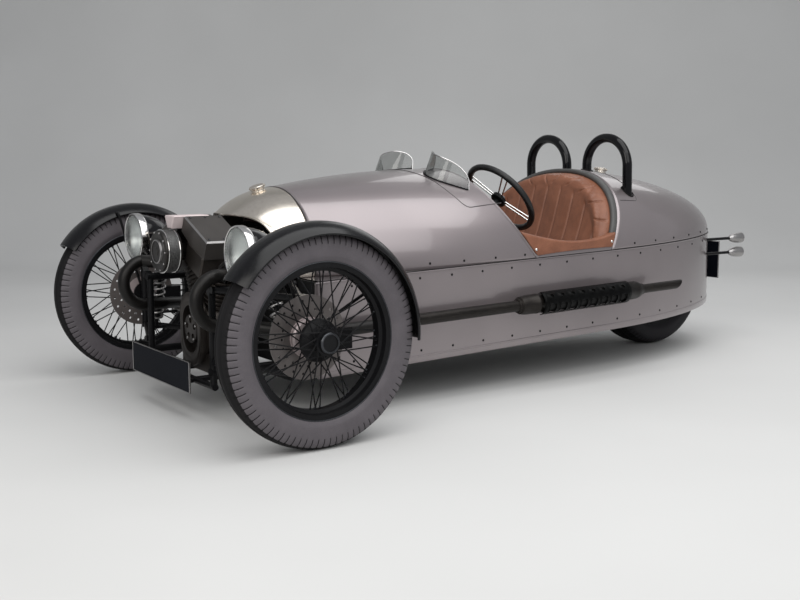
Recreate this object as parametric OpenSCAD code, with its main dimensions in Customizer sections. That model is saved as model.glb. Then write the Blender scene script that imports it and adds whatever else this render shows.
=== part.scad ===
// Three-wheeled open two-seat sports car, in millimetres.
// X points forward, Y to the car's left and Z up. The origin lies on the ground, under the
// middle of the car's length and width. A station is a distance behind the front axle.

/* [Road wheels] */
// Distance from the front axle to the rear axle
wheelbase = 2335; // [2250:5:2420]
// Distance between the centre planes of the front wheels
front_track = 1532; // [1480:2:1600]
// Outer radius of a front tyre
front_tyre_r = 345; // [335:1:355]
// Width of a front tyre
front_tyre_w = 105; // [95:1:115]
// Height of a front tyre's sidewall over its rim's flange
front_sidewall_h = 94; // [85:1:105]
// Width of a front rim
front_rim_w = 80; // [70:1:90]
// Outer radius of the rear tyre
rear_tyre_r = 312; // [300:1:322]
// Width of the rear tyre
rear_tyre_w = 190; // [165:1:200]
// Height of the rear tyre's sidewall over its rim's flange
rear_sidewall_h = 96; // [85:1:105]
// Spokes in each of the four sets of a wire wheel
spokes_per_set = 12; // [9:1:14]
// Radius of one wire spoke
spoke_r = 2.2; // [1.6:0.1:2.6]

/* [Cycle wings] */
// Gap between a front tyre's tread and its wing's crown
wing_gap = 29; // [22:1:39]
// Width of a wing
wing_w = 150; // [130:1:158]
// Angle of a wing's front end above the horizontal
wing_front_angle = 34; // [20:1:50]
// Angle of a wing's rear end, past the vertical
wing_rear_angle = 184; // [170:1:188]

/* [Body] */
// Nose-down rake of the body, in degrees
rake = 1.43; // [0.8:0.01:2]
// Station of the side panels' front edge
panel_front_s = 180; // [170:1:200]
// Half width of the body at the side panels' front edge
flank_half_w = 465; // [450:1:470]
// Height of the body's bottom edge
body_floor_z = 146; // [135:1:160]
// Height of the seam between the side panels and the upper body
seam_z = 484; // [475:1:492]
// Height of the upper body over the seam
dome_h = 361; // [345:1:375]
// Station of the body's tail end
tail_end_s = 2713; // [2690:1:2760]
// Thickness of the side panels
side_wall = 14; // [10:1:18]
// Thickness of the upper panels
upper_wall = 10; // [8:1:14]
// Station of the joint between the nose cowl and the bonnet
cowl_joint_s = 280; // [270:1:300]
// Station of the scuttle's edge at the centre line
scuttle_s = 1020; // [1000:1:1060]
// Station of the seat rim at the centre line
rim_top_s = 1805; // [1790:1:1815]

/* [Cockpit] */
// Diameter of the steering wheel
steering_wheel_d = 348; // [320:2:370]
// Distance of the driver's centre plane from the car's
driver_y = 189; // [180:1:200]
// Height of a roll hoop's top
hoop_top_z = 976; // [960:1:1000]
// Half distance between a hoop's two legs
hoop_half_w = 124; // [115:1:130]
// Radius of a hoop's tube
hoop_tube_r = 21; // [18:0.5:23]
// Height of an aero screen over the scuttle
screen_h = 85; // [60:1:110]

/* [Engine and exhaust] */
// Half angle between the cylinders
vee_half_angle = 24; // [22:0.5:26]
// Height of the crankshaft
crank_z = 288; // [282:1:296]
// Radius of a cylinder's cooling fins
fin_r = 72; // [66:1:74]
// Radius of a header pipe
header_r = 23; // [20:0.5:25]
// Radius of a silencer
silencer_r = 38; // [34:0.5:42]
// Distance of the side exhausts from the car's centre plane
exhaust_y = 510; // [506:1:516]

/* [Steering and suspension] */
// Distance of a steering axis inside its wheel's centre plane
kingpin_inset = 106; // [102:1:112]
// Length of a steering arm
steering_arm = 130; // [126:1:134]
// Height of the lower wishbones
lower_arm_z = 215; // [205:1:225]
// Height of the upper wishbones
upper_arm_z = 465; // [455:1:475]

/* [Lamps and plates] */
// Radius of a headlamp's rim
headlamp_r = 95; // [85:1:100]
// Distance of a headlamp from the car's centre plane
headlamp_y = 455; // [445:1:465]
// Height of a headlamp's centre
headlamp_z = 597; // [585:1:610]
// Width of the front number plate
front_plate_w = 520; // [480:5:540]
// Height of the front number plate
front_plate_h = 111; // [100:1:120]

/* [Hidden] */

$fn = 64;
section_steps = 24;
seat_gap = 0.3;
overrun = 2;
upright_tilt = 90;
half_turn = 180;

// The lamp that reaches furthest back sets the car's length with the front tyre
lamp_back_s = 2790;
front_axle_x = (lamp_back_s - front_tyre_r) / 2;
rear_axle_x = front_axle_x - wheelbase;
wheel_y = front_track / 2;
kingpin_y = wheel_y - kingpin_inset;
front_flange_r = front_tyre_r - front_sidewall_h;
rear_flange_r = rear_tyre_r - rear_sidewall_h;
wing_crown_r = front_tyre_r + wing_gap;

// Upper body: how the nose narrows and drops, and how the tail falls away
flank_taper_share = 0.0172;
tail_start_s = 1600;
deck_fall_s = 1300;
nose_full_s = 1200;
nose_tip_s = 60;
nose_drop = 47;
nose_drop_s = 900;
dome_power = 2.2;
plan_powers = [2.2, 1.6];
crown_powers = [2, 1.8];
nose_powers = [2.5, 2];
tail_cap = 3;
scuttle_sweep = 200;
scuttle_power = 1.5;
rim_lean = 165;
panel_rows = 10;
deck_rows = 16;

// Nose cowl: its mouth's half width, the height of its arch and how far its sides sweep back
mouth_half_w = 250;
mouth_h = 224;
mouth_s = 72;
mouth_sweep = 85;
mouth_power = 4;
cowl_bulge_s = 110;
cowl_bulge_drop = 20;
cowl_rows = 7;

// Sill pads: the height of the cut-away edge at its front, rear and lowest point
pad_foot_z = 506;
pad_front_z = 600;
pad_rear_z = 566;
pad_dip = 40;
pad_t = 30;
pad_proud = 5;
sill_rows = 3;
sill_columns = 12;
edge_gap = 1;

function lerp(a, b, t) = a + (b - a) * t;
function fall(t, powers) = pow(max(0, 1 - pow(t, powers[0])), 1 / powers[1]);
function along(s, from_s, to_s) = max(0, min(1, (s - from_s) / (to_s - from_s)));
function station(s) = panel_front_s - s;

// Half width of the side panels, and of the upper body at its seam, less an inset
function flank_linear(s) = flank_half_w - flank_taper_share * (s - panel_front_s);
function flank_half(s, inset) =
    (flank_linear(s) - inset) * fall(along(s, tail_start_s, tail_end_s - inset), plan_powers);
function upper_half(s, inset) =
    flank_half(s, inset) * fall(1 - along(s, nose_tip_s, nose_full_s), nose_powers);

// Height of the crown over the seam, less an inset
function crown_rise(s) =
    dome_h - nose_drop * pow(max(0, nose_drop_s - s) / (nose_drop_s - cowl_joint_s), 2);
function crown_h(s, inset) =
    (crown_rise(s) - inset) * fall(along(s, deck_fall_s, tail_end_s - inset), crown_powers);

// A dome's section is a superellipse: a point by its angle from the crown, and a height by its y
function super(c, power) = sign(c) * pow(abs(c), 2 / power);
function section_angle(j) = half_turn * (j / section_steps - 0.5);
function section_drop(a) = 1 - super(max(0, cos(a)), dome_power);
function dome_point(s, a, inset) = [
    station(s),
    upper_half(s, inset) * super(sin(a), dome_power),
    seam_z + crown_h(s, inset) * super(max(0, cos(a)), dome_power)
];
function dome_z(s, y) =
    seam_z + crown_h(s, 0) * pow(1 - pow(abs(y) / upper_half(s, 0), dome_power), 1 / dome_power);
function dome_y(s, z) =
    upper_half(s, 0) * pow(max(0, 1 - pow((z - seam_z) / crown_h(s, 0), dome_power)), 1 / dome_power);
function crown_slope(s) = atan2(crown_h(s + overrun, 0) - crown_h(s - overrun, 0), 2 * overrun);

// Edges of the cockpit opening, by how far down from the crown a point lies, as a share
function scuttle_edge(drop) = scuttle_s + scuttle_sweep * pow(drop, scuttle_power);
function rim_edge(drop) = rim_top_s - rim_lean * drop;

// Frame of the body: raked about the ground point under the side panels' front edge
module raked() translate([front_axle_x - panel_front_s, 0, 0]) rotate([0, rake, 0]) children();

function raked_point(p) = [
    front_axle_x - panel_front_s + p[0] * cos(rake) + p[2] * sin(rake),
    p[1],
    p[2] * cos(rake) - p[0] * sin(rake)];

module both_sides() {
    children();
    mirror([0, 1, 0]) children();
}

module rod(a, b, r) {
    d = b - a;
    length = norm(d);
    translate(a) rotate([0, acos(d[2] / length), atan2(d[1], d[0])]) cylinder(h = length, r = r);
}

// A cylinder along Y, outwards from a point, and one along X, forwards from a point
module axle_rod(at, length, r) translate(at) rotate([-upright_tilt, 0, 0]) cylinder(h = length, r = r);
module lane_rod(at, length, r) translate(at) rotate([0, upright_tilt, 0]) cylinder(h = length, r = r);

// Closed wall between an outer and an inner grid of points
module wall(outer, inner) {
    rows = len(outer);
    columns = len(outer[0]);
    m = rows - 1;
    n = columns - 1;
    function a(i, j) = i * columns + j;
    function b(i, j) = rows * columns + i * columns + j;
    points = [for (grid = [outer, inner]) for (row = grid) for (p = row) p];
    faces = concat(
        [for (i = [0 : m - 1]) for (j = [0 : n - 1]) each [
            [a(i, j), a(i, j + 1), a(i + 1, j + 1)], [a(i, j), a(i + 1, j + 1), a(i + 1, j)],
            [b(i, j), b(i + 1, j + 1), b(i, j + 1)], [b(i, j), b(i + 1, j), b(i + 1, j + 1)]]],
        [for (i = [0 : m - 1]) each [
            [a(i, 0), a(i + 1, 0), b(i + 1, 0)], [a(i, 0), b(i + 1, 0), b(i, 0)],
            [a(i + 1, n), a(i, n), b(i, n)], [a(i + 1, n), b(i, n), b(i + 1, n)]]],
        [for (j = [0 : n - 1]) each [
            [a(0, j + 1), a(0, j), b(0, j)], [a(0, j + 1), b(0, j), b(0, j + 1)],
            [a(m, j), a(m, j + 1), b(m, j + 1)], [a(m, j), b(m, j + 1), b(m, j)]]]);
    polyhedron(points, faces);
}

// Chassis: the front frame round the engine, and the two long rails under the floor's edges
floor_t = 6;
rail_r = 16;
rail_y = 362;
rail_z = body_floor_z + floor_t + rail_r + seat_gap;
rail_front_s = 300;
rail_back_s = 1960;
frame_y = 275;
frame_r = 14;
post_r = 12.5;
cross_r = 11;
tie_r = 12;
plate_bar_r = 12.5;
post_front_x = 130;
post_back_x = -165;
frame_top_z = 458;
frame_low_z = 176;
cradle_y = 120;
cradle_z = 124;
plate_bar_x = 196;
damper_foot_inset = 105;
damper_top_inset = 190;
damper_foot_y = kingpin_y - damper_foot_inset;
damper_top_y = kingpin_y - damper_top_inset;
damper_top_z = 500;
damper_ball_r = 15;
bracket_xs = [60, -100];
damper_bracket_r = 10;
rear_hoop_s = 1940;
rear_hoop_top_z = 600;
rear_hoop_r = 15;
rear_low_r = 13;
rear_side_r = 14;
swing_pivot_y = 165;
rear_post_y = 230;
swing_pivot_z = 305;
radiator_t = 42;
radiator_s = 225;

module front_frame() {
    bulkhead_x = front_axle_x - rail_front_s;
    tube_l = rail_front_s + post_front_x + 2 * post_r;
    for (y = [-frame_y, frame_y]) {
        for (z = [frame_top_z, frame_low_z]) lane_rod([bulkhead_x - cross_r, y, z], tube_l, frame_r);
        for (x = [post_front_x, post_back_x])
            rod([front_axle_x + x, y, cradle_z], [front_axle_x + x, y, frame_top_z], post_r);
    }
    cradle_l = plate_bar_x - post_back_x + cross_r;
    for (y = [-cradle_y, cradle_y])
        lane_rod([front_axle_x + post_back_x - cross_r, y, cradle_z], cradle_l, cross_r);
    for (x = [post_front_x, post_back_x])
        axle_rod([front_axle_x + x, -frame_y - post_r, cradle_z], 2 * (frame_y + post_r), tie_r);
    axle_rod([front_axle_x + plate_bar_x, -front_plate_w / 3, cradle_z], 2 * front_plate_w / 3, plate_bar_r);
    axle_rod([front_axle_x - radiator_s - radiator_t / 2, -frame_y, frame_top_z], 2 * frame_y, cross_r);
    axle_rod([bulkhead_x, -rail_y, frame_low_z], 2 * rail_y, cross_r);
    both_sides() {
        for (x = bracket_xs)
            rod([front_axle_x + x, frame_y, frame_top_z],
                [front_axle_x, damper_top_y, damper_top_z], damper_bracket_r);
        translate([front_axle_x, damper_top_y, damper_top_z]) sphere(r = damper_ball_r);
    }
}

// The rails, the cross tubes behind the cockpit and the posts that carry the rear arm's pivot
module long_frame() {
    raked() for (y = [-rail_y, rail_y])
        lane_rod([station(rail_back_s), y, rail_z], rail_back_s - rail_front_s + rail_r, rail_r);
    rear_x = front_axle_x - rear_hoop_s;
    rear_low_z = rail_z + (rear_hoop_s - panel_front_s) * sin(rake);
    axle_rod([rear_x, -rail_y, rear_low_z], 2 * rail_y, rear_low_r);
    axle_rod([rear_x, -rail_y, swing_pivot_z], 2 * rail_y, rear_hoop_r);
    for (y = [-rail_y, rail_y])
        rod([rear_x, y, rear_low_z], [rear_x, y, swing_pivot_z], rear_side_r);
    both_sides() rod([rear_x, rear_post_y, swing_pivot_z], [rear_x, rear_post_y, rear_hoop_top_z], cross_r);
    axle_rod([rear_x, -rear_post_y, rear_hoop_top_z], 2 * rear_post_y, tie_r);
}

module chassis_frame() color("#1b1b1d") union() {
    front_frame();
    long_frame();
}

// Floor pan with the front bulkhead, which the frame's tubes pass through
bulkhead_t = 8;
bulkhead_set = 30;
floor_front_s = panel_front_s + bulkhead_set;
tube_hole_gap = 2;
function floor_half(s) = flank_half(s, side_wall) - seat_gap;

module floor_pan() color("#232325") difference() {
    raked() {
        translate([0, 0, body_floor_z]) linear_extrude(floor_t) polygon(concat(
            [for (s = [floor_front_s, tail_start_s, rear_hoop_s]) [station(s), floor_half(s)]],
            [for (s = [rear_hoop_s, tail_start_s, floor_front_s]) [station(s), -floor_half(s)]]));
        half = floor_half(floor_front_s + bulkhead_t);
        translate([-bulkhead_set - bulkhead_t, -half, body_floor_z])
            cube([bulkhead_t, 2 * half, seam_z - body_floor_z - ledge_t - 2 * seat_gap]);
    }
    for (y = [-frame_y, frame_y]) for (z = [frame_top_z, frame_low_z])
        lane_rod([front_axle_x - rail_front_s, y, z], rail_front_s, frame_r + tube_hole_gap);
}

// Side panels, from the front edge round to the middle of the tail, with the ledge inside the bonnet
ledge_t = 5;
ledge_lap = 8;
flank_stations = concat([panel_front_s, cowl_joint_s, nose_full_s], [for (k = [0 : 15])
    lerp(tail_start_s, tail_end_s, sin(k * 6))]);
ledge_stations = [for (k = [0 : 10]) lerp(cowl_joint_s, nose_full_s, k / 10)];

module side_panel() raked() {
    outer = [for (s = flank_stations) [station(s), flank_half(s, 0)]];
    inner = [for (s = flank_stations) let (t = min(s, tail_end_s - side_wall))
        [station(t), flank_half(t, side_wall)]];
    count = len(flank_stations);
    translate([0, 0, body_floor_z]) linear_extrude(seam_z - body_floor_z - seat_gap) polygon(concat(
        outer, [[station(tail_end_s), 0], [station(tail_end_s - side_wall), 0]],
        [for (k = [count - 1 : -1 : 0]) inner[k]]));
    translate([0, 0, seam_z - seat_gap - ledge_t]) linear_extrude(ledge_t) polygon(concat(
        [for (s = ledge_stations) [station(s), flank_half(s, side_wall / 2)]],
        [for (k = [len(ledge_stations) - 1 : -1 : 0]) let (s = ledge_stations[k])
            [station(s), min(flank_half(s, side_wall), upper_half(s, upper_wall) - ledge_lap)]]));
}

module side_panel_left() color("#b9aeb0") side_panel();
module side_panel_right() color("#b9aeb0") mirror([0, 1, 0]) side_panel();

// Upper panels: bonnet with scuttle, and the rear deck that closes the tail
module bonnet() {
    function grid(inset) = [for (i = [0 : panel_rows]) [for (j = [0 : section_steps])
        let (a = section_angle(j), s = lerp(cowl_joint_s, scuttle_edge(section_drop(a)), i / panel_rows))
        dome_point(s, a, inset)]];
    color("#b9aeb0") raked() wall(grid(upper_wall), grid(0));
}

hoop_s = 1865;
hoop_hole_gap = 0.5;

module rear_deck() {
    function grid(inset) = [for (i = [0 : deck_rows]) [for (j = [0 : section_steps])
        let (a = section_angle(j), s0 = rim_edge(section_drop(a)),
             s = lerp(s0, tail_end_s - inset - tail_cap, sin(upright_tilt * i / deck_rows)))
        dome_point(s, a, inset)]];
    color("#b9aeb0") raked() difference() {
        wall(grid(upper_wall), grid(0));
        hoop_legs(hoop_tube_r + hoop_hole_gap);
    }
}

// Nose cowl: from the bonnet's front section forward to the mouth's arch
function mouth_point(a, inset) = let (y = (mouth_half_w - inset) * super(sin(a), mouth_power)) [
    station(mouth_s + mouth_sweep * pow(abs(y) / mouth_half_w, 2)),
    y,
    seam_z + (mouth_h - inset) * super(max(0, cos(a)), mouth_power)];
function cowl_point(i, a, inset) = let (u = i / cowl_rows,
    back = dome_point(cowl_joint_s, a, inset) + [seat_gap, 0, 0],
    middle = back + [cowl_bulge_s, 0, -cowl_bulge_drop * max(0, cos(a))],
    front = mouth_point(a, inset))
    pow(1 - u, 2) * back + 2 * u * (1 - u) * middle + u * u * front;

module nose_cowl() {
    function grid(inset) = [for (i = [0 : cowl_rows]) [for (j = [0 : section_steps])
        cowl_point(i, section_angle(j), inset)]];
    color("#c9bfb6") raked() wall(grid(0), grid(upper_wall));
}

// Radiator behind the mouth, standing on the front frame
radiator_half_w = 215;
radiator_h = 190;
radiator_grooves = 6;

module radiator() color("#1f2022")
    translate([front_axle_x - radiator_s - radiator_t, -radiator_half_w, frame_top_z + cross_r + seat_gap])
    difference() {
        cube([radiator_t, 2 * radiator_half_w, radiator_h]);
        groove = radiator_h / (radiator_grooves + 1);
        for (k = [0 : radiator_grooves - 1])
            translate([radiator_t - radiator_t / 6, radiator_t / 2, radiator_t / 2 + k * groove])
            cube([radiator_t, 2 * radiator_half_w - radiator_t, groove / 2]);
    }

// Cockpit sides: a painted strip over the seam and a leather pad over the cut-away edge
function pad_top(t) = lerp(pad_front_z, pad_rear_z, t) - 4 * pad_dip * t * (1 - t);
function height_drop(z) = (seam_z + dome_h - z) / dome_h;
function side_grid(z0, z1, out) = [for (i = [0 : sill_rows]) [for (j = [0 : sill_columns])
    let (t = j / sill_columns,
         z = lerp(z0, z1 > 0 ? z1 : pad_top(t), i / sill_rows),
         s = lerp(scuttle_edge(height_drop(z)) + edge_gap, rim_edge(height_drop(z)) - edge_gap, t))
    [station(s), dome_y(s, z) + out, z]]];

module sill_strips() color("#b9aeb0") raked() both_sides()
    wall(side_grid(seam_z, pad_foot_z - seat_gap, -upper_wall),
        side_grid(seam_z, pad_foot_z - seat_gap, 0));

module sill_pads() color("#9c7a58") raked() both_sides()
    wall(side_grid(pad_foot_z, 0, pad_proud - pad_t), side_grid(pad_foot_z, 0, pad_proud));

// Seat: an upholstered back inside the rim, a bench cushion and the band round the rim
seat_t = 85;
seat_inset = 24;
seat_foot_z = rail_z + rail_r + seat_gap;
seat_hollow = 35;
seat_rows = 10;
seat_columns = 16;
cushion_front_s = 1090;
// Below this drop from the crown, as a share, the seat back stands upright
seat_drop_share = 1.15;
cushion_h = 120;
cushion_half_w = 385;
cushion_r = 40;
band_w = 16;
band_t = 14;
band_gap = 0.5;
band_skip = 2;

function seat_edge(z) = rim_edge(min(height_drop(z), seat_drop_share));
function seat_half(z, inset) = let (s = seat_edge(z))
    z < seam_z + edge_gap ? flank_half(s, side_wall + inset) : dome_y(s, z) - inset - upper_wall;
seat_top_z = seam_z + crown_h(rim_top_s, 0) - upper_wall - seat_inset;

module seat_back() {
    function grid(back) = [for (i = [0 : seat_rows]) [for (j = [0 : seat_columns])
        let (z = lerp(seat_foot_z, seat_top_z, sin(upright_tilt * i / seat_rows)),
             t = 2 * j / seat_columns - 1,
             hollow = seat_hollow * (1 - pow(t, 4)) * (1 - pow(i / seat_rows, 4)),
             s = seat_edge(z) - seat_t + hollow)
        [station(back ? seat_edge(z) : s), t * max(overrun, seat_half(z, seat_inset)), z]]];
    color("#a98662") raked() wall(grid(true), grid(false));
}

module seat_cushion() color("#a98662") raked() {
    back_s = seat_edge(seat_foot_z) - seat_t - seat_gap;
    hull() for (s = [cushion_front_s + cushion_r, back_s - cushion_r]) for (y = [-1, 1])
        translate([station(s), y * (cushion_half_w - cushion_r), seat_foot_z]) {
            cylinder(h = cushion_h - cushion_r, r = cushion_r, $fn = 32);
            translate([0, 0, cushion_h - cushion_r]) sphere(r = cushion_r, $fn = 32);
        }
}

module seat_rim() {
    function grid(inset) = [for (i = [0 : 1]) [for (j = [band_skip : section_steps - band_skip])
        let (a = section_angle(j), s = rim_edge(section_drop(a)) + (i - 0.5) * band_w)
        dome_point(s, a, upper_wall + inset)]];
    color("#4b4a4c") raked() wall(grid(band_t), grid(band_gap));
}

// Dashboard under the scuttle
dash_s = 985;
dash_t = 16;
dash_foot_z = 585;
dash_gap = 0.6;

module dashboard() color("#2a2829") raked()
    translate([station(dash_s), 0, 0]) rotate([upright_tilt, 0, -upright_tilt])
    translate([0, 0, -dash_t / 2]) linear_extrude(dash_t) {
        outline = [for (j = [0 : section_steps])
            let (p = dome_point(dash_s - dash_t, section_angle(j), upper_wall + dash_gap))
            if (p[2] > dash_foot_z) [p[1], p[2]]];
        ends = [for (y = [1, -1]) [y * outline[len(outline) - 1][0], dash_foot_z]];
        polygon(concat(outline, ends));
    }

// Roll hoops, whose legs pass through the deck to the rails
hoop_foot_z = 600;
hoop_bend_z = hoop_top_z - hoop_tube_r - hoop_half_w;

module hoop_legs(r) for (side = [-1, 1]) for (leg = [-1, 1])
    translate([station(hoop_s), side * driver_y + leg * hoop_half_w, hoop_foot_z])
    cylinder(h = hoop_bend_z - hoop_foot_z, r = r);

module roll_hoops() color("#161617") raked() union() {
    hoop_legs(hoop_tube_r);
    for (side = [-1, 1]) translate([station(hoop_s), side * driver_y, hoop_bend_z])
        rotate([upright_tilt, 0, upright_tilt])
        rotate_extrude(angle = half_turn) translate([hoop_half_w, 0]) circle(r = hoop_tube_r);
}

// Filler caps on the cowl and on the deck
cap_r = 31;
cap_h = 26;
cap_lip = 4;
fuel_cap_s = 2015;
radiator_cap_row = 2;
// Columns: radius as a share of the cap's, height as a share of the cap's
cap_profile_shares = [[0.8, 0.4], [1, 0.45], [1, 0.75], [0.85, 0.9], [0.4, 1]];

module filler_cap() rotate_extrude() polygon(concat(
    [[0, seat_gap], [cap_r * cap_profile_shares[0][0], seat_gap]],
    [for (row = cap_profile_shares) [row[0] * cap_r, row[1] * cap_h]],
    [[0, cap_h + cap_lip]]));

module filler_caps() color("#d9d9dc") raked() {
    translate([station(fuel_cap_s), 0, seam_z + crown_h(fuel_cap_s, 0)])
        rotate([0, crown_slope(fuel_cap_s), 0]) filler_cap();
    slope = cowl_point(radiator_cap_row + 0.5, 0, 0) - cowl_point(radiator_cap_row - 0.5, 0, 0);
    translate(cowl_point(radiator_cap_row, 0, 0)) rotate([0, atan2(-slope[2], slope[0]), 0]) filler_cap();
}

// Aero screens: tinted shells that stand on the scuttle
screen_s = 872;
screen_half_w = 118;
screen_sweep = 110;
screen_lean = 38;
screen_t = 5;
screen_columns = 14;
screen_rows = 4;

module aero_screen() {
    function grid(back) = [for (i = [0 : screen_rows]) [for (j = [0 : screen_columns])
        let (t = 2 * j / screen_columns - 1, y = driver_y + screen_half_w * t,
             s = screen_s + screen_sweep * t * t + back,
             h = screen_h * sqrt(1 - pow(t, 4)) * i / screen_rows)
        [station(s + screen_lean * h / screen_h), y, dome_z(s, y) + h + seat_gap * (2 + i)]]];
    wall(grid(screen_t), grid(0));
}

module aero_screens() color("#5a4a3c", 0.5) raked() both_sides() aero_screen();

// Steering column and wheel, in the frame of the column
column_tilt = 38;
column_hub_s = 1225;
column_hub_z = 744;
column_r = 15;
column_length = 330;
wheel_rim_r = 13;
hub_r = 34;
hub_t = 22;
wheel_spoke_r = 3.5;
wheel_spoke_pitch = 12;
column_gap = 1;
column_foot_share = 1.5;
column_foot_z = column_hub_z - (column_hub_s - dash_s) * tan(column_tilt) - column_r * column_foot_share;

module on_column() translate([front_axle_x - column_hub_s, driver_y, column_hub_z])
    rotate([0, -(upright_tilt - column_tilt), 0]) children();

module steering_wheel() color("#18181a") on_column() union() {
    rotate_extrude() translate([steering_wheel_d / 2 - wheel_rim_r, 0]) circle(r = wheel_rim_r);
    translate([0, 0, -hub_t]) cylinder(h = hub_t + wheel_spoke_r, r = hub_r);
    spoke_l = (steering_wheel_d - wheel_rim_r - hub_r) / 2;
    for (arm = [0 : 3]) for (k = [-1, 1]) rotate((arm + 0.5) * upright_tilt)
        lane_rod([hub_r / 2, k * wheel_spoke_pitch, -wheel_rim_r / 3], spoke_l, wheel_spoke_r);
}

module steering_column() color("#202022") union() {
    on_column() translate([0, 0, -hub_t - column_gap - column_length])
        cylinder(h = column_length, r = column_r);
    raked() translate([station(dash_s) - column_r / 2, driver_y - column_r / 2, column_foot_z])
        cube([column_r, column_r, dash_foot_z - seat_gap - column_foot_z]);
}

// Engine: crankcase with its oval cover, and two finned cylinders in a vee across the car
engine_lead = 20;
engine_x = front_axle_x + engine_lead;
case_r = 118;
case_back = 110;
case_front = 46;
cover_front = 72;
cover_r = 88;
cover_half_h = 48;
recess_r = 64;
recess_depth = 30;
rotor_r = 52;
rotor_hole_share = 0.62;
rotor_hole_r = 11;
rotor_holes = 5;
engine_foot_z = cradle_z + cross_r + seat_gap;
foot_t = 22;
foot_half_w = cradle_y + cross_r;
foot_h = 70;
stack_set = 30;
stack_x = engine_x - stack_set;
head_shift = 37;
deck_flat = 104;
barrel_r = 60;
barrel_top = 246;
fin_t = 5;
fin_start = 13;
fin_pitch = 16.25;
fin_count = 8;
head_l = 196;
head_w = 138;
head_h = 84;
rocker_shift = 60;
rocker_l = 146;
rocker_in = 130;
rocker_out = 74;
rocker_h = 68;
rocker_taper = 7;

module oval(r, half_h) union() {
    translate([0, half_h]) circle(r = r);
    translate([0, -half_h]) circle(r = r);
    translate([-r, -half_h]) square([2 * r, 2 * half_h]);
}

module crankcase() color("#4a4340") translate([engine_x, 0, crank_z]) difference() {
    union() {
        lane_rod([-case_back, 0, 0], case_back + case_front, case_r);
        rotate([upright_tilt, 0, upright_tilt]) translate([0, 0, case_front - overrun])
            linear_extrude(cover_front - case_front + overrun) oval(cover_r, cover_half_h);
        for (x = [-case_back, case_front - foot_t]) translate([x, -foot_half_w, engine_foot_z - crank_z])
            cube([foot_t, 2 * foot_half_w, foot_h]);
    }
    rotate([upright_tilt, 0, upright_tilt]) translate([0, 0, cover_front - recess_depth])
        difference() {
            linear_extrude(recess_depth + overrun) oval(recess_r, cover_half_h / 2);
            translate([0, 0, -overrun]) cylinder(h = recess_depth, r = rotor_r);
        }
    for (k = [0 : rotor_holes - 1]) rotate([k * 360 / rotor_holes, 0, 0])
        lane_rod([cover_front - recess_depth, 0, rotor_r * rotor_hole_share], recess_depth * 2, rotor_hole_r);
    both_sides() rotate([-vee_half_angle, 0, 0]) translate([-case_back - overrun, -case_r, deck_flat])
        cube([case_back + case_front, 2 * case_r, case_r]);
}

module cylinder_stack() translate([stack_x, 0, crank_z]) rotate([-vee_half_angle, 0, 0]) union() {
    translate([0, 0, deck_flat + seat_gap]) cylinder(h = barrel_top - deck_flat, r = barrel_r);
    for (k = [0 : fin_count - 1]) translate([0, 0, deck_flat + fin_start + k * fin_pitch])
        cylinder(h = fin_t, r = fin_r);
    translate([head_shift - head_l / 2, -head_w / 2, barrel_top]) cube([head_l, head_w, head_h]);
    translate([rocker_shift, 0, barrel_top + head_h]) rotate([upright_tilt, 0, upright_tilt])
        translate([0, 0, -rocker_l / 2]) linear_extrude(rocker_l)
        polygon([[-rocker_in, rocker_taper], [-head_w / 2, -overrun], [rocker_out, -overrun],
            [rocker_out, rocker_h - rocker_taper], [rocker_out - rocker_taper, rocker_h],
            [rocker_taper - rocker_in, rocker_h], [-rocker_in, rocker_h - rocker_taper]]);
}

module cylinders() color("#4f4743") both_sides() intersection() {
    cylinder_stack();
    translate([0, seat_gap, 0]) cube([2 * front_axle_x, wheel_y, front_axle_x]);
}

// Air filter drum in front of the vee, on an inlet pipe from the manifold between the heads
filter_r = 74;
filter_band_r = 80;
filter_lead = 216;
filter_front_x = front_axle_x + filter_lead;
filter_band_shares = [0.12, 0.75];
filter_l = 74;
filter_z = 578;
filter_band_l = 12;
inlet_r = 26;
inlet_l = 100;
manifold_r = 22;
manifold_x = front_axle_x + 2 * manifold_r;
riser_z = 626;
riser_neck_r = 9;
plenum_l = 140;
plenum_z = 659;
plenum_top_z = 705;
plenum_gap = 4;
// Half distance at a height between two faces that stand a reach inside the cylinders' axes
function vee_gap_half(z, reach) = (z - crank_z) * tan(vee_half_angle) - reach / cos(vee_half_angle);

module air_filter() color("#6a6763") union() {
    translate([filter_front_x, 0, filter_z]) rotate([0, -upright_tilt, 0]) {
        cylinder(h = filter_l, r = filter_r);
        for (share = filter_band_shares)
            translate([0, 0, share * filter_l]) cylinder(h = filter_band_l, r = filter_band_r);
        translate([0, 0, filter_l - overrun]) cylinder(h = inlet_l, r = inlet_r);
    }
    half = vee_gap_half(filter_z - manifold_r, head_w / 2) - seat_gap;
    axle_rod([manifold_x, -half, filter_z], 2 * half, manifold_r);
    translate([manifold_x, 0, filter_z]) cylinder(h = riser_z - filter_z, r = manifold_r);
    translate([manifold_x, 0, riser_z - overrun])
        cylinder(h = plenum_z - riser_z + 2 * overrun, r = riser_neck_r);
    low = vee_gap_half(plenum_z, rocker_in) - plenum_gap;
    high = vee_gap_half(plenum_top_z, rocker_in) - plenum_gap;
    translate([manifold_x - manifold_r, 0, 0]) rotate([upright_tilt, 0, upright_tilt])
        linear_extrude(plenum_l) polygon([[-low, plenum_z], [low, plenum_z],
            [high, plenum_top_z], [-high, plenum_top_z]]);
}

// Exhausts: a header that loops forward and down, then a side pipe with its silencer
pipe_r = 22;
collar = 2.4;
port_x = stack_x + head_shift;
port_d = barrel_top + head_h / 2;
stub_l = 34;
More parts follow.
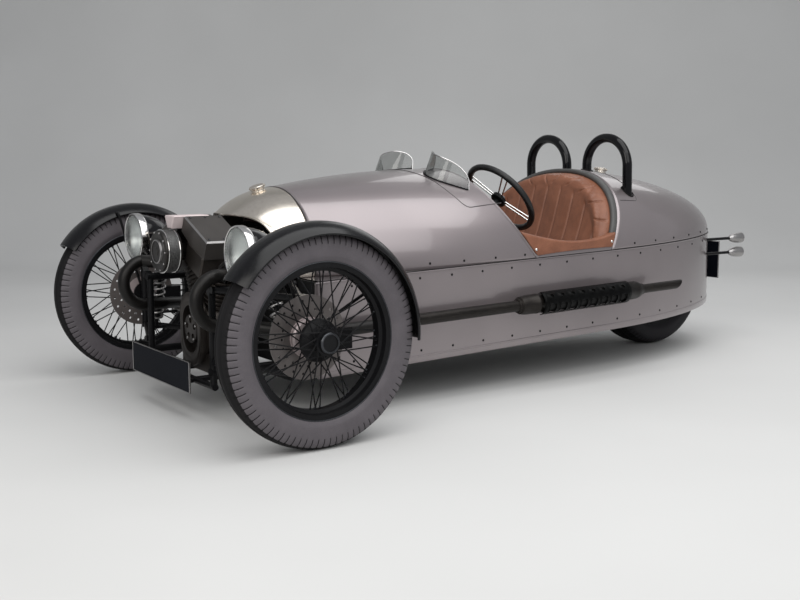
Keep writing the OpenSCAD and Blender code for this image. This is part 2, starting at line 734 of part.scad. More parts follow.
// A point out from a cylinder's axis at the port's height
function port_point(out) = [
    port_x,
    port_d * sin(vee_half_angle) + out * cos(vee_half_angle),
    crank_z + port_d * cos(vee_half_angle) - out * sin(vee_half_angle)];
loop_lead = 128;
loop_x = front_axle_x + loop_lead;
loop_y = 330;
loop_r = 86;
loop_z = 430;
side_pipe_s = 130;
side_pipe_z = 318;
silencer_s = 1055;
silencer_l = 690;
silencer_cone = 40;
tail_pipe_l = 250;
tail_pipe_r = 19;
tail_pipe_wall = 3;
tail_pipe_s = silencer_s + silencer_l + tail_pipe_l;
bracket_t = 8;
bracket_l = 24;
bracket_shares = [0.3, 0.95];

// A collar at a bend, turned about the way that one of its pipes goes
module elbow(at, way) translate(at)
    rotate([0, acos(way[2] / norm(way)), atan2(way[1], way[0])]) sphere(r = header_r + collar);

module exhaust() color("#2b2725") union() {
    top = [loop_x, loop_y, loop_z + loop_r];
    low = [loop_x, loop_y, loop_z - loop_r];
    stub = port_point(head_w / 2 + stub_l);
    rod(port_point(head_w / 2 + seat_gap), stub, header_r);
    elbow(stub, top - stub);
    rod(stub, top, header_r - collar / 2);
    elbow(top, top - stub);
    translate([loop_x, loop_y, loop_z]) rotate([upright_tilt, 0, 0]) rotate([0, 0, -upright_tilt])
        rotate_extrude(angle = half_turn) translate([loop_r, 0]) circle(r = header_r);
    raked_start = raked_point([station(side_pipe_s), exhaust_y, side_pipe_z]);
    elbow(low, raked_start - low);
    rod(low, raked_start, header_r - collar / 2);
    elbow(raked_start, raked_start - low);
    raked() {
        lane_rod([station(silencer_s), exhaust_y, side_pipe_z], silencer_s - side_pipe_s, pipe_r);
        translate([station(silencer_s), exhaust_y, side_pipe_z]) rotate([0, -upright_tilt, 0])
            rotate_extrude() polygon([[0, -overrun], [pipe_r + collar, -overrun], [silencer_r, silencer_cone],
                [silencer_r, silencer_l - silencer_cone], [tail_pipe_r + collar, silencer_l],
                [0, silencer_l]]);
        difference() {
            lane_rod([station(tail_pipe_s), exhaust_y, side_pipe_z], tail_pipe_l + overrun, tail_pipe_r);
            translate([station(tail_pipe_s), exhaust_y, side_pipe_z - tail_pipe_r])
                rotate([0, -45, 0]) translate([-2 * tail_pipe_l, -tail_pipe_l / 2, 0])
                cube([2 * tail_pipe_l, tail_pipe_l, tail_pipe_l]);
            lane_rod([station(tail_pipe_s) - overrun, exhaust_y, side_pipe_z],
                tail_pipe_l / 2, tail_pipe_r - tail_pipe_wall);
        }
        for (share = bracket_shares) {
            s = lerp(side_pipe_s, silencer_s + silencer_l, share);
            inner = flank_half(s - bracket_l, 0) + seat_gap;
            translate([station(s), inner, side_pipe_z - bracket_t / 2])
                cube([bracket_l, exhaust_y - inner, bracket_t]);
        }
    }
}

module exhaust_left() exhaust();
module exhaust_right() mirror([0, 1, 0]) exhaust();

// Heat shields: slotted half shells clipped on the silencers
shield_gap = 7;
shield_t = 2.5;
shield_l = 480;
shield_angle = 150;
shield_slots = 16;
slot_w = 9;
slot_h = 34;
clip_l = 14;

module shield_arc(r0, r1, length)
    rotate([0, -upright_tilt, 0]) rotate([0, 0, upright_tilt - shield_angle / 2])
    rotate_extrude(angle = shield_angle) translate([r0, 0]) square([r1 - r0, length]);

module heat_shields() color("#111112") raked() both_sides()
    translate([station(silencer_s + (silencer_l - shield_l) / 2), exhaust_y, side_pipe_z]) union() {
        difference() {
            shield_arc(silencer_r + shield_gap, silencer_r + shield_gap + shield_t, shield_l);
            for (k = [0 : shield_slots - 1])
                translate([-shield_l * (k + 1) / (shield_slots + 1) - slot_w / 2, 0, -slot_h / 2])
                cube([slot_w, 2 * silencer_r, slot_h]);
        }
        for (x = [clip_l, shield_l - 2 * clip_l]) translate([-x, 0, 0])
            shield_arc(silencer_r + seat_gap, silencer_r + shield_gap + shield_t / 2, clip_l);
    }

// Headlamps on stalks from the front frame
lamp_lead = 122;
lamp_face_x = front_axle_x + lamp_lead;
bowl_l = 120;
rim_l = 22;
rim_lip = 8;
lens_set = 6;
lens_back = 12;
lens_steps = 6;
// Columns: radius as a share of the lamp's, distance behind the rim as a share of the bowl's length
bowl_shares = [[0.96, 0.02], [0.9, 0.3], [0.72, 0.65], [0.4, 0.9], [0, 1]];
lens_bulge = 18;
stalk_r = 11;
stalk_lean = 25;
stalk_gap = 1.2;

module on_lamp() translate([lamp_face_x, headlamp_y, headlamp_z]) rotate([0, -upright_tilt, 0]) children();

module headlamps() color("#1a1a1c") both_sides() union() {
    on_lamp() rotate_extrude() polygon(concat(
        [[0, rim_l], [headlamp_r - rim_lip, rim_l], [headlamp_r - rim_lip, 0], [headlamp_r, 0],
            [headlamp_r, rim_l]],
        [for (row = bowl_shares) [row[0] * headlamp_r, rim_l + row[1] * bowl_l]]));
    rod([front_axle_x, damper_top_y, damper_top_z + damper_ball_r + stalk_gap],
        [front_axle_x + stalk_lean, headlamp_y, headlamp_z], stalk_r);
}

module headlamp_lenses() {
    r = headlamp_r - rim_lip - seat_gap;
    color("#e8eaea", 0.4) both_sides() on_lamp() rotate_extrude() polygon(concat(
        [for (k = [0 : lens_steps]) let (a = k * upright_tilt / lens_steps)
            [r * sin(a), lens_set - lens_bulge * cos(a)]],
        [[r, lens_back], [0, lens_back]]));
}

// Number plates, blank: the front one on its bar and the rear one on the tail
plate_t = 5;
front_plate_z = 107;
rear_plate_w = 210;
rear_plate_h = 186;
rear_plate_z = 302;
rear_plate_s = 2750;
rear_plate_x = front_axle_x - rear_plate_s;
plate_foot = 18;
plate_lap = 1;

module number_plates() color("#141415") {
    front_x = front_axle_x + plate_bar_x + plate_bar_r + seat_gap;
    translate([front_x, -front_plate_w / 2, front_plate_z]) cube([plate_t, front_plate_w, front_plate_h]);
    union() {
        translate([rear_plate_x, -rear_plate_w / 2, rear_plate_z])
            cube([plate_t, rear_plate_w, rear_plate_h]);
        foot_x = rear_plate_x + plate_t - plate_lap;
        for (z = [rear_plate_z + plate_foot, rear_plate_z + rear_plate_h - 2 * plate_foot])
            translate([foot_x, -plate_foot / 2, z])
            cube([tail_face_x(0, z) - foot_x - seat_gap, plate_foot, plate_foot]);
    }
}

// Tail lamps: stacked bullet lamps on stalks from the tail
tail_lamp_y = 200;
tail_lamp_r = 26;
tail_lamp_l = 96;
tail_lamp_zs = [512, 442];
tail_stalk_r = 7;
tail_stalk_share = 0.6;
// Columns: radius as a share of the lamp's, distance from its back as a share of its length
tail_lamp_shares = [[0.88, 0], [1, 0.04], [1, 0.3], [0.9, 0.55], [0.62, 0.82], [0, 1]];

module tail_lamps() color("#8a1f1c") both_sides() for (z = tail_lamp_zs) union() {
    translate([front_axle_x - lamp_back_s, tail_lamp_y, z]) rotate([0, upright_tilt, 0]) rotate_extrude()
        polygon(concat([[0, 0]],
            [for (row = tail_lamp_shares) [row[0] * tail_lamp_r, row[1] * tail_lamp_l]]));
    rod([front_axle_x - lamp_back_s + tail_lamp_l * tail_stalk_share, tail_lamp_y, z],
        [tail_face_x(tail_lamp_y - tail_stalk_r, z) - seat_gap, tail_lamp_y, z], tail_stalk_r);
}

// Where the tail's wall lies behind a given distance from the centre plane
function tail_station(y) = let (s = lerp(tail_start_s, tail_end_s, 0.85))
    lerp(tail_start_s, tail_end_s, pow(1 - pow(y / flank_linear(s), plan_powers[1]), 1 / plan_powers[0]));
function tail_face_x(y, z) = let (s = tail_station(y))
    raked_point([station(s), y, z - (s - panel_front_s) * sin(rake)])[0];

// Front wishbones, in pairs, with bored outer eyes for the knuckles' pins
arm_r = 11;
bush_r = 12;
bush_l = 30;
eye_r = 16;
eye_h = 26;
pin_r = 7;
pin_gap = 0.3;
damper_bar_r = 9;
bush_y = frame_y + frame_r + bush_r + seat_gap;

module wishbone(z) difference() {
    union() {
        for (x = [post_front_x, post_back_x]) {
            lane_rod([front_axle_x + x - bush_l / 2, bush_y, z], bush_l, bush_r);
            rod([front_axle_x + x, bush_y, z], [front_axle_x, kingpin_y, z], arm_r);
        }
        translate([front_axle_x, kingpin_y, z - eye_h / 2]) cylinder(h = eye_h, r = eye_r);
    }
    translate([front_axle_x, kingpin_y, z - eye_h]) cylinder(h = 2 * eye_h, r = pin_r + pin_gap);
}

// The lower pair carries a bar for the damper's foot
module wishbones() color("#161617") both_sides() {
    union() {
        wishbone(lower_arm_z);
        share = (kingpin_y - damper_foot_y) / (kingpin_y - bush_y);
        lane_rod([front_axle_x + post_back_x * share, damper_foot_y, lower_arm_z],
            (post_front_x - post_back_x) * share, damper_bar_r);
    }
    wishbone(upper_arm_z);
}

// Coil dampers: a body with its spring's turns, between two points
damper_r = 19;
neck_r = 10;
neck_share = 0.14;
coil_r = 5;
coil_turns = 7;
rear_damper_lead = 190;
rear_damper_x = rear_axle_x + rear_damper_lead;
rear_damper_y = 150;

module damper(a, b) {
    d = b - a;
    length = norm(d);
    translate(a) rotate([0, acos(d[2] / length), atan2(d[1], d[0])]) union() {
        cylinder(h = length, r = neck_r);
        translate([0, 0, length * neck_share]) cylinder(h = length * (1 - 2 * neck_share), r = damper_r);
        for (k = [0 : coil_turns - 1])
            translate([0, 0, length * lerp(neck_share, 1 - neck_share, (k + 0.5) / coil_turns)])
            rotate_extrude() translate([damper_r + coil_r / 2, 0]) circle(r = coil_r);
    }
}

module dampers() color("#c8c4bd") both_sides() {
    foot = [front_axle_x, damper_foot_y, lower_arm_z];
    top = [front_axle_x, damper_top_y, damper_top_z];
    axis = (top - foot) / norm(top - foot);
    damper(foot + (damper_bar_r + seat_gap) * axis, top - (damper_ball_r + seat_gap) * axis);
    rear_foot = [rear_damper_x, rear_damper_y, lerp(swing_pivot_z, rear_tyre_r, 0.5)];
    rear_top = [front_axle_x - rear_hoop_s, rear_damper_y, rear_hoop_top_z];
    rear_axis = (rear_top - rear_foot) / norm(rear_top - rear_foot);
    damper(rear_foot + (swing_r + neck_r) * rear_axis, rear_top - (tie_r + seat_gap) * rear_axis);
}

// Steering rack: a housing on the front frame and a sliding bar out to the steering arms' eyes
rack_z = 273;
rack_bar_r = 8;
rack_gap = 0.4;
rack_housing_r = 20;
rack_lug_t = 16;
rod_eye_r = 13;
rod_eye_h = 14;
arm_eye_r = 14;
arm_eye_h = 12;
arm_eye_gap = 2;
rack_x = front_axle_x - steering_arm;

module rack_housing() color("#6d6c6b") difference() {
    union() {
        axle_rod([rack_x, -frame_y - rack_lug_t, rack_z], 2 * (frame_y + rack_lug_t), rack_housing_r);
        for (y = [-frame_y, frame_y])
            translate([rack_x - rack_lug_t / 2, y - rack_lug_t / 2, frame_low_z + frame_r + seat_gap])
            cube([rack_lug_t, rack_lug_t, rack_z - frame_low_z - frame_r - seat_gap]);
    }
    axle_rod([rack_x, -kingpin_y, rack_z], 2 * kingpin_y, rack_bar_r + rack_gap);
}

module steering_rack() color("#8f8f90") union() {
    axle_rod([rack_x, -kingpin_y, rack_z], 2 * kingpin_y, rack_bar_r);
    for (y = [-kingpin_y, kingpin_y])
        translate([rack_x, y, rack_z - rod_eye_h / 2]) cylinder(h = rod_eye_h, r = rod_eye_r);
}

// Rear arm: two legs from the frame's cross tube to the rear axle
swing_r = 16;
swing_bush_r = 25;
swing_bush_l = 44;
rear_arm_y = 142;
rear_axle_r = 13;

module swing_arm() color("#1b1b1d") difference() {
    union() {
        pivot_x = front_axle_x - rear_hoop_s;
        both_sides() {
            axle_rod([pivot_x, swing_pivot_y - swing_bush_l / 2, swing_pivot_z], swing_bush_l, swing_bush_r);
            rod([pivot_x - swing_bush_r, swing_pivot_y, swing_pivot_z],
                [rear_axle_x, rear_arm_y, rear_tyre_r], swing_r);
            axle_rod([rear_axle_x, rear_arm_y - swing_r, rear_tyre_r], 2 * swing_r, swing_bush_r);
        }
        axle_rod([rear_axle_x, -rear_arm_y, rear_tyre_r], 2 * rear_arm_y, rear_axle_r);
    }
    axle_rod([front_axle_x - rear_hoop_s, -rail_y, swing_pivot_z], 2 * rail_y, rear_hoop_r + pin_gap);
}

// Knuckles: the upright with its pins, stub axle, steering arm and brake caliper
upright_r = 15;
stub_r = 13;
stub_axle_l = 128;
flange_r = 44;
flange_from = 8;
flange_t = 8;
arm_rod_r = 5.5;
caliper_l = 76;
caliper_h = 70;
caliper_drop = 14;
caliper_x = 82;
caliper_in = 10;
caliper_w = 46;
disc_r = 137;
disc_t = 6;
disc_gap = 4;

module knuckle() union() {
    at = [front_axle_x, kingpin_y, 0];
    low = lower_arm_z + eye_h / 2 + pin_gap;
    high = upper_arm_z - eye_h / 2 - pin_gap;
    translate(at + [0, 0, low]) cylinder(h = high - low, r = upright_r);
    translate(at + [0, 0, lower_arm_z - eye_h / 2])
        cylinder(h = upper_arm_z - lower_arm_z + eye_h, r = pin_r);
    axle_rod(at + [0, 0, front_tyre_r], stub_axle_l, stub_r);
    axle_rod(at + [0, flange_from, front_tyre_r], flange_t, flange_r);
    arm_z = rack_z - rod_eye_h / 2 - arm_eye_gap - arm_eye_h;
    lane_rod(at + [-steering_arm, 0, arm_z + arm_eye_h / 2], steering_arm, arm_rod_r);
    translate(at + [-steering_arm, 0, arm_z]) cylinder(h = arm_eye_h, r = arm_eye_r);
    caliper_z = front_tyre_r - caliper_drop;
    translate(at + [-caliper_x - upright_r, caliper_in - upright_r, caliper_z - upright_r])
        cube([caliper_x + upright_r, upright_r, 2 * upright_r]);
    difference() {
        translate(at + [-caliper_x - caliper_l, caliper_in - upright_r, caliper_z - caliper_h / 2])
            cube([caliper_l, caliper_w + upright_r, caliper_h]);
        disc_y = wheel_y - hub_in - seat_gap - disc_t;
        axle_rod([front_axle_x, disc_y - disc_gap, front_tyre_r], disc_t + 2 * disc_gap, disc_r + disc_gap);
    }
}

module knuckle_left() color("#39383a") knuckle();
module knuckle_right() color("#39383a") mirror([0, 1, 0]) knuckle();

// Frame of a front wheel: its axis along Z, outwards
module on_wheel() translate([front_axle_x, wheel_y, front_tyre_r]) rotate([-upright_tilt, 0, 0]) children();

// Cycle wings: a crowned band round the tyre with rolled edges, on two stays from the knuckle
wing_t = 4;
wing_crown = 10;
wing_bead_r = 4;
stay_r = 5.5;
stay_foot_r = 6;
stay_angles = [74, 152];
stay_root_share = 0.7;
stay_ring_r = 40;
stay_ring_t = 6;
wing_steps = 6;

module wing() {
    function wing_r(t) = wing_crown_r - wing_crown * t * t;
    stay_y = kingpin_y + flange_from + flange_t + seat_gap;
    reach = wing_crown_r - wing_crown - wing_t / 2;
    union() {
        on_wheel() rotate([0, 0, -wing_rear_angle])
            rotate_extrude(angle = wing_rear_angle - wing_front_angle, $fn = 96) union() {
                polygon(concat(
                    [for (k = [-wing_steps : wing_steps]) let (t = k / wing_steps)
                        [wing_r(t), t * wing_w / 2]],
                    [for (k = [wing_steps : -1 : -wing_steps]) let (t = k / wing_steps)
                        [wing_r(t) - wing_t, t * wing_w / 2]]));
                for (t = [-1, 1]) translate([wing_r(t) - wing_t / 2, t * (wing_w - wing_bead_r) / 2])
                    circle(r = wing_bead_r);
            }
        difference() {
            axle_rod([front_axle_x, stay_y, front_tyre_r], stay_ring_t, stay_ring_r);
            axle_rod([front_axle_x, stay_y - overrun, front_tyre_r],
                stay_ring_t + 2 * overrun, stub_r + overrun);
        }
        for (a = stay_angles) {
            y = stay_y + stay_r;
            root = stay_ring_r * stay_root_share;
            rod([front_axle_x + cos(a) * root, y, front_tyre_r + sin(a) * root],
                [front_axle_x + cos(a) * reach, y, front_tyre_r + sin(a) * reach], stay_r);
            axle_rod([front_axle_x + cos(a) * reach, y, front_tyre_r + sin(a) * reach],
                wheel_y - wing_w / 2 + 2 * wing_bead_r - y, stay_foot_r);
        }
    }
}

module wing_left() color("#121214") wing();
module wing_right() color("#121214") mirror([0, 1, 0]) wing();

// Wire wheels: rim, hub and four laced sets of spokes
rim_t = 6;
bead_drop = 13;
well_drop = 26;
hub_barrel_r = 28;
hub_in = 62;
hub_out = 64;
hub_flange_r = 42;
hub_flange_t = 9;
hub_cap_r = 33;
hub_cap_l = 12;
hub_dome_r = 70;
// Columns: radius as a share of the dome's, place along the hub as a share of its outer reach
hub_dome_shares = [[0.3, -0.12], [0.86, -0.06], [1, 0.04], [0.96, 0.2], [0.75, 0.42], [0.3, 0.62]];
spoke_lead = 50;
rim_step = 2;
rim_seat_share = 1.4;
rim_well_shares = [0.28, 0.4, 0.34, 0.46];
hub_flange_shares = [0.83, -0.37];
tyre_steps = 24;
tyre_powers = [3, 2.6];
tyre_foot_angle = 20;
// Columns: hub plane, rim plane, lead's sign, phase within the pitch; planes are shares of the
// hub's outer reach and of the rim's half width
spoke_set_shares = [
    [0.9, 0.24, 1, 0], [0.76, 0.1, -1, 0.5], [-0.3, -0.1, 1, 0.25], [-0.44, -0.24, -1, 0.75]];

// One half of a rim's section from its middle outwards, outside and then inside
function rim_outside(bead, well, flange_r, half_w) = [
    [well, half_w * rim_well_shares[0]], [bead - rim_step, half_w * rim_well_shares[1]],
    [bead, half_w - rim_t * rim_seat_share],
    [flange_r, half_w - rim_t], [flange_r, half_w]];
function rim_inside(bead, well, half_w) = [
    [bead - rim_t, half_w - rim_step], [bead - rim_t - rim_step, half_w * rim_well_shares[3]],
    [well - rim_t, half_w * rim_well_shares[2]]];
function flipped(points) = [for (k = [len(points) - 1 : -1 : 0]) [points[k][0], -points[k][1]]];
function rim_profile(flange_r, half_w) = let (
    bead = flange_r - bead_drop, well = flange_r - well_drop,
    outside = rim_outside(bead, well, flange_r, half_w),
    inside = rim_inside(bead, well, half_w))
    concat(flipped(outside), outside, inside, flipped(inside));

// A tyre's section: tread and sidewalls, then the bead that hooks inside each flange
function tyre_profile(outer_r, flange_r, w, rim_w) = let (
    inner_r = flange_r - bead_drop + seat_gap,
    mid = (outer_r + inner_r) / 2,
    half_h = (outer_r - inner_r) / 2,
    carcass = [for (k = [0 : tyre_steps])
        let (a = lerp(-tyre_foot_angle, half_turn + tyre_foot_angle, k / tyre_steps))
        [mid + half_h * super(sin(a), tyre_powers[0]), w / 2 * super(cos(a), tyre_powers[1])]],
    foot = [
        [inner_r, rim_w / 2 - rim_t * rim_seat_share - seat_gap],
        [flange_r + seat_gap, rim_w / 2 - rim_t - seat_gap],
        [flange_r + seat_gap, rim_w / 2]])
    concat(carcass, flipped(foot), foot);

module front_wheel() on_wheel() difference() {
    union() {
        rotate_extrude($fn = 96) polygon(rim_profile(front_flange_r, front_rim_w / 2));
        translate([0, 0, -hub_in]) cylinder(h = hub_in + hub_out, r = hub_barrel_r);
        for (z = [hub_out * hub_flange_shares[0], hub_in * hub_flange_shares[1]])
            translate([0, 0, z - hub_flange_t]) cylinder(h = 2 * hub_flange_t, r = hub_flange_r);
        rotate_extrude() polygon([for (row = hub_dome_shares) [row[0] * hub_dome_r, row[1] * hub_out]]);
        translate([0, 0, hub_out - overrun]) cylinder(h = hub_cap_l, r = hub_cap_r);
        for (set = spoke_set_shares) for (k = [0 : spokes_per_set - 1]) {
            pitch = 360 / spokes_per_set;
            a = (k + set[3]) * pitch;
            b = a + set[2] * spoke_lead;
            hub_point_r = hub_flange_r - 2 * spoke_r;
            rim_point_r = front_flange_r - well_drop - rim_t / 2;
            rod([hub_point_r * cos(a), hub_point_r * sin(a), set[0] * hub_out],
                [rim_point_r * cos(b), rim_point_r * sin(b), set[1] * front_rim_w / 2], spoke_r);
        }
    }
    bore_l = kingpin_y + stub_axle_l - wheel_y + hub_in + overrun;
    translate([0, 0, -hub_in - overrun]) cylinder(h = bore_l + overrun, r = stub_r + pin_gap);
}

module front_wheel_left() color("#1a1a1b") front_wheel();
module front_wheel_right() color("#1a1a1b") mirror([0, 1, 0]) front_wheel();

module front_tyre() on_wheel() rotate_extrude($fn = 96)
    polygon(tyre_profile(front_tyre_r, front_flange_r, front_tyre_w, front_rim_w));
module front_tyre_left() color("#4a4647") front_tyre();
module front_tyre_right() color("#4a4647") mirror([0, 1, 0]) front_tyre();

// Brake discs, drilled, on the hubs' inner ends
disc_hole_r = 5;
disc_holes = 20;
disc_bore_r = 20;
bell_r = 64;
bell_h = 18;
bell_taper = 6;
bell_gap = 2;
disc_hole_shares = [0.68, 0.86];

module brake_disc() on_wheel() difference() {
    union() {
        translate([0, 0, -hub_in - seat_gap - disc_t]) cylinder(h = disc_t, r = disc_r, $fn = 96);
        bell_in = hub_barrel_r + bell_gap;
        translate([0, 0, -hub_in - seat_gap]) rotate_extrude() polygon([[bell_in, -disc_t / 2],
            [bell_r, -disc_t / 2], [bell_r, bell_h - bell_taper], [bell_r - bell_taper, bell_h],
            [bell_in, bell_h]]);
    }
    translate([0, 0, -hub_in - disc_t - overrun]) cylinder(h = disc_t + 2 * overrun, r = disc_bore_r);
    for (row = [0, 1]) for (k = [0 : disc_holes - 1]) rotate((k + row / 2) * 360 / disc_holes)
        translate([disc_r * disc_hole_shares[row], 0, -hub_in - disc_t - overrun])
        cylinder(h = disc_t + 2 * overrun, r = disc_hole_r);
}

module brake_disc_left() color("#b7a9a6") brake_disc();
module brake_disc_right() color("#b7a9a6") mirror([0, 1, 0]) brake_disc();

// Rear wheel: a disc wheel with vents, on the rear arm's axle
rear_rim_w = 165;
rear_disc_t = 12;
rear_hub_r = 44;
rear_hub_half = 84;
vent_r = 26;
vent_count = 8;
vent_share = 0.6;

module on_rear_wheel() translate([rear_axle_x, 0, rear_tyre_r]) rotate([-upright_tilt, 0, 0]) children();

module rear_wheel() color("#1c1c1e") on_rear_wheel() difference() {
    union() {
        rotate_extrude($fn = 96) polygon(rim_profile(rear_flange_r, rear_rim_w / 2));
        translate([0, 0, -rear_disc_t / 2])
            cylinder(h = rear_disc_t, r = rear_flange_r - well_drop - rim_t / 2);
        translate([0, 0, -rear_hub_half]) cylinder(h = 2 * rear_hub_half, r = rear_hub_r);
    }
    translate([0, 0, -rear_hub_half - overrun])
        cylinder(h = 2 * (rear_hub_half + overrun), r = rear_axle_r + pin_gap);
    for (k = [0 : vent_count - 1]) rotate(k * 360 / vent_count)
        translate([(rear_flange_r - well_drop) * vent_share, 0, -rear_disc_t])
        cylinder(h = 2 * rear_disc_t, r = vent_r);
}

module rear_tyre() color("#2a2829") on_rear_wheel()
    rotate_extrude($fn = 96) polygon(tyre_profile(rear_tyre_r, rear_flange_r, rear_tyre_w, rear_rim_w));

chassis_frame();
floor_pan();
side_panel_left();
side_panel_right();
bonnet();
rear_deck();
nose_cowl();
radiator();
sill_strips();
sill_pads();
seat_back();
seat_cushion();
seat_rim();
dashboard();
roll_hoops();
filler_caps();
aero_screens();
steering_column();
steering_wheel();
crankcase();
cylinders();
air_filter();
exhaust_left();
exhaust_right();
heat_shields();
headlamps();
headlamp_lenses();
number_plates();
tail_lamps();
wishbones();
dampers();
rack_housing();
steering_rack();
swing_arm();
knuckle_left();
knuckle_right();
wing_left();
wing_right();
front_wheel_left();
front_wheel_right();
front_tyre_left();
front_tyre_right();
brake_disc_left();
brake_disc_right();
rear_wheel();
rear_tyre();
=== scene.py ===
import math

import bmesh
import bpy
from mathutils import Matrix, Vector
from mathutils.kdtree import KDTree


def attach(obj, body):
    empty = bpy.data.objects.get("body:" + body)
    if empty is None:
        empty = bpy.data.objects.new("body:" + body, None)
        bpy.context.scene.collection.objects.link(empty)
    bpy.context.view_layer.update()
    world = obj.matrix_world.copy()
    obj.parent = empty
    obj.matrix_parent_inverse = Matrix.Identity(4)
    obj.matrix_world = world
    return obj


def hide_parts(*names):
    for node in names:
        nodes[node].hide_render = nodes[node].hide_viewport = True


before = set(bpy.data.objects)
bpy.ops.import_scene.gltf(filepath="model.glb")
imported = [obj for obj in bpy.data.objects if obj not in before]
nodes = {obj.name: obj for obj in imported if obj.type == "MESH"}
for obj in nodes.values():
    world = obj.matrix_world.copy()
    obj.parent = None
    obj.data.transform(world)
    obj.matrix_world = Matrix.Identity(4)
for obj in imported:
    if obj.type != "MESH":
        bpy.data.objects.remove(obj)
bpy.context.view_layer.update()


def lerp(a, b, t):
    return a + (b - a) * t


def clamp(t, low=0.0, high=1.0):
    return max(low, min(high, t))


def spread(count, low=0.0, high=1.0):
    return [lerp(low, high, k / (count - 1)) for k in range(count)]


def circle(count, phase=0.0):
    return [2 * math.pi * (k + phase) / count for k in range(count)]


def polar(r, a, h=0.0):
    return r * math.cos(a), r * math.sin(a), h


def smooth_step(t):
    t = clamp(t)
    return t * t * (3 - 2 * t)


def crowded(t):
    """Runs from 0 to 1 in steps that grow shorter."""
    return math.sin(math.pi / 2 * t)


def curve(a, b, c, t):
    return a * (1 - t) ** 2 + b * (2 * t * (1 - t)) + c * t * t


def at(x, y, z):
    return Matrix.Translation((x, y, z))


def turn(degrees, axis):
    return Matrix.Rotation(math.radians(degrees), 4, axis)


def turned(place, direction):
    return (place.to_3x3() @ Vector(direction)).normalized()


def facing(way):
    """Turns local Z along a direction."""
    return Vector(way).to_track_quat("Z", "Y").to_matrix().to_4x4()


# Sizes in millimetres, as in the part's source. X is forward, Y to the left and Z up.
METRE = 1000.0
LEFT, RIGHT = 1, -1
SIDES = ((LEFT, "left"), (RIGHT, "right"))
AXLE_X, REAR_AXLE_X = 1222.5, -1112.5
WHEEL_Y, KINGPIN_Y = 766.0, 660.0
FRONT_R, REAR_R = 345.0, 312.0
PANEL_S, COWL_S, TAIL_S = 180.0, 280.0, 2713.0
SEAM_Z, FLOOR_Z, DOME_H = 484.0, 146.0, 361.0
DRIVER_Y = 189.0
SKIN = 6.0
RAKED = at(AXLE_X - PANEL_S, 0, 0) @ turn(1.43, "Y")
FORWARD, AFT = turn(90, "Y"), turn(-90, "Y")

# Form of the body: a station s is a distance behind the front axle, and an angle a is measured from the crown.
FLANK_HALF, FLANK_TAPER, FLANK_END_S, FLANK_POWERS = 465.0, 0.0172, 1600.0, (2.2, 1.6)
UPPER_FROM_S, UPPER_FULL_S, UPPER_POWERS = 60.0, 1200.0, (2.5, 2)
CROWN_DIP, CROWN_FLAT_S, CROWN_RUN, CROWN_END_S, CROWN_POWERS = 47.0, 900.0, 620.0, 1300.0, (2, 1.8)
DOME_POWER = 2.2
SCUTTLE_S, SCUTTLE_SWEEP, RIM_S, RIM_LEAN = 1020.0, 200.0, 1805.0, 165.0
PAD_FRONT_Z, PAD_REAR_Z, PAD_DIP = 600.0, 566.0, 40.0
ANGLES = spread(121, -90, 90)


def fall(t, powers):
    return max(0.0, 1 - t ** powers[0]) ** (1 / powers[1])


def along(s, a, b):
    return clamp((s - a) / (b - a))


def station(s, y, z):
    return Vector((PANEL_S - s, y, z))


def flank_half(s, inset=0.0):
    linear = FLANK_HALF - FLANK_TAPER * (s - PANEL_S) - inset
    return linear * fall(along(s, FLANK_END_S, TAIL_S - inset), FLANK_POWERS)


def upper_half(s, inset=0.0):
    return flank_half(s, inset) * fall(1 - along(s, UPPER_FROM_S, UPPER_FULL_S), UPPER_POWERS)


def crown_h(s, inset=0.0):
    rise = DOME_H - CROWN_DIP * (max(0.0, CROWN_FLAT_S - s) / CROWN_RUN) ** 2
    return (rise - inset) * fall(along(s, CROWN_END_S, TAIL_S - inset), CROWN_POWERS)


def power_of(c, power=DOME_POWER):
    return math.copysign(abs(c) ** (2 / power), c)


def drop_at(a):
    return 1 - power_of(max(0.0, math.cos(math.radians(a))))


def dome(s, a, inset=0.0):
    r = math.radians(a)
    return station(s, upper_half(s, inset) * power_of(math.sin(r)),
                   SEAM_Z + crown_h(s, inset) * power_of(max(0.0, math.cos(r))))


def dome_z(s, y):
    share = 1 - min(1.0, abs(y) / upper_half(s)) ** DOME_POWER
    return SEAM_Z + crown_h(s) * share ** (1 / DOME_POWER)


def dome_y(s, z):
    share = max(0.0, 1 - ((z - SEAM_Z) / crown_h(s)) ** DOME_POWER)
    return upper_half(s) * share ** (1 / DOME_POWER)


def on_dome(s, y, lift=0.0):
    """A point over the upper body, lifted along its normal."""
    across = Vector((0, 2, dome_z(s, y + 1) - dome_z(s, y - 1)))
    ahead = Vector((2, 0, dome_z(s - 1, y) - dome_z(s + 1, y)))
    return station(s, y, dome_z(s, y)) + ahead.cross(across).normalized() * lift


def scuttle_edge(drop):
    return SCUTTLE_S + SCUTTLE_SWEEP * drop ** 1.5


def rim_edge(drop):
    return RIM_S - RIM_LEAN * drop


def height_drop(z):
    return (SEAM_Z + DOME_H - z) / DOME_H


def pad_top(t):
    return lerp(PAD_FRONT_Z, PAD_REAR_Z, t) - 4 * PAD_DIP * t * (1 - t)


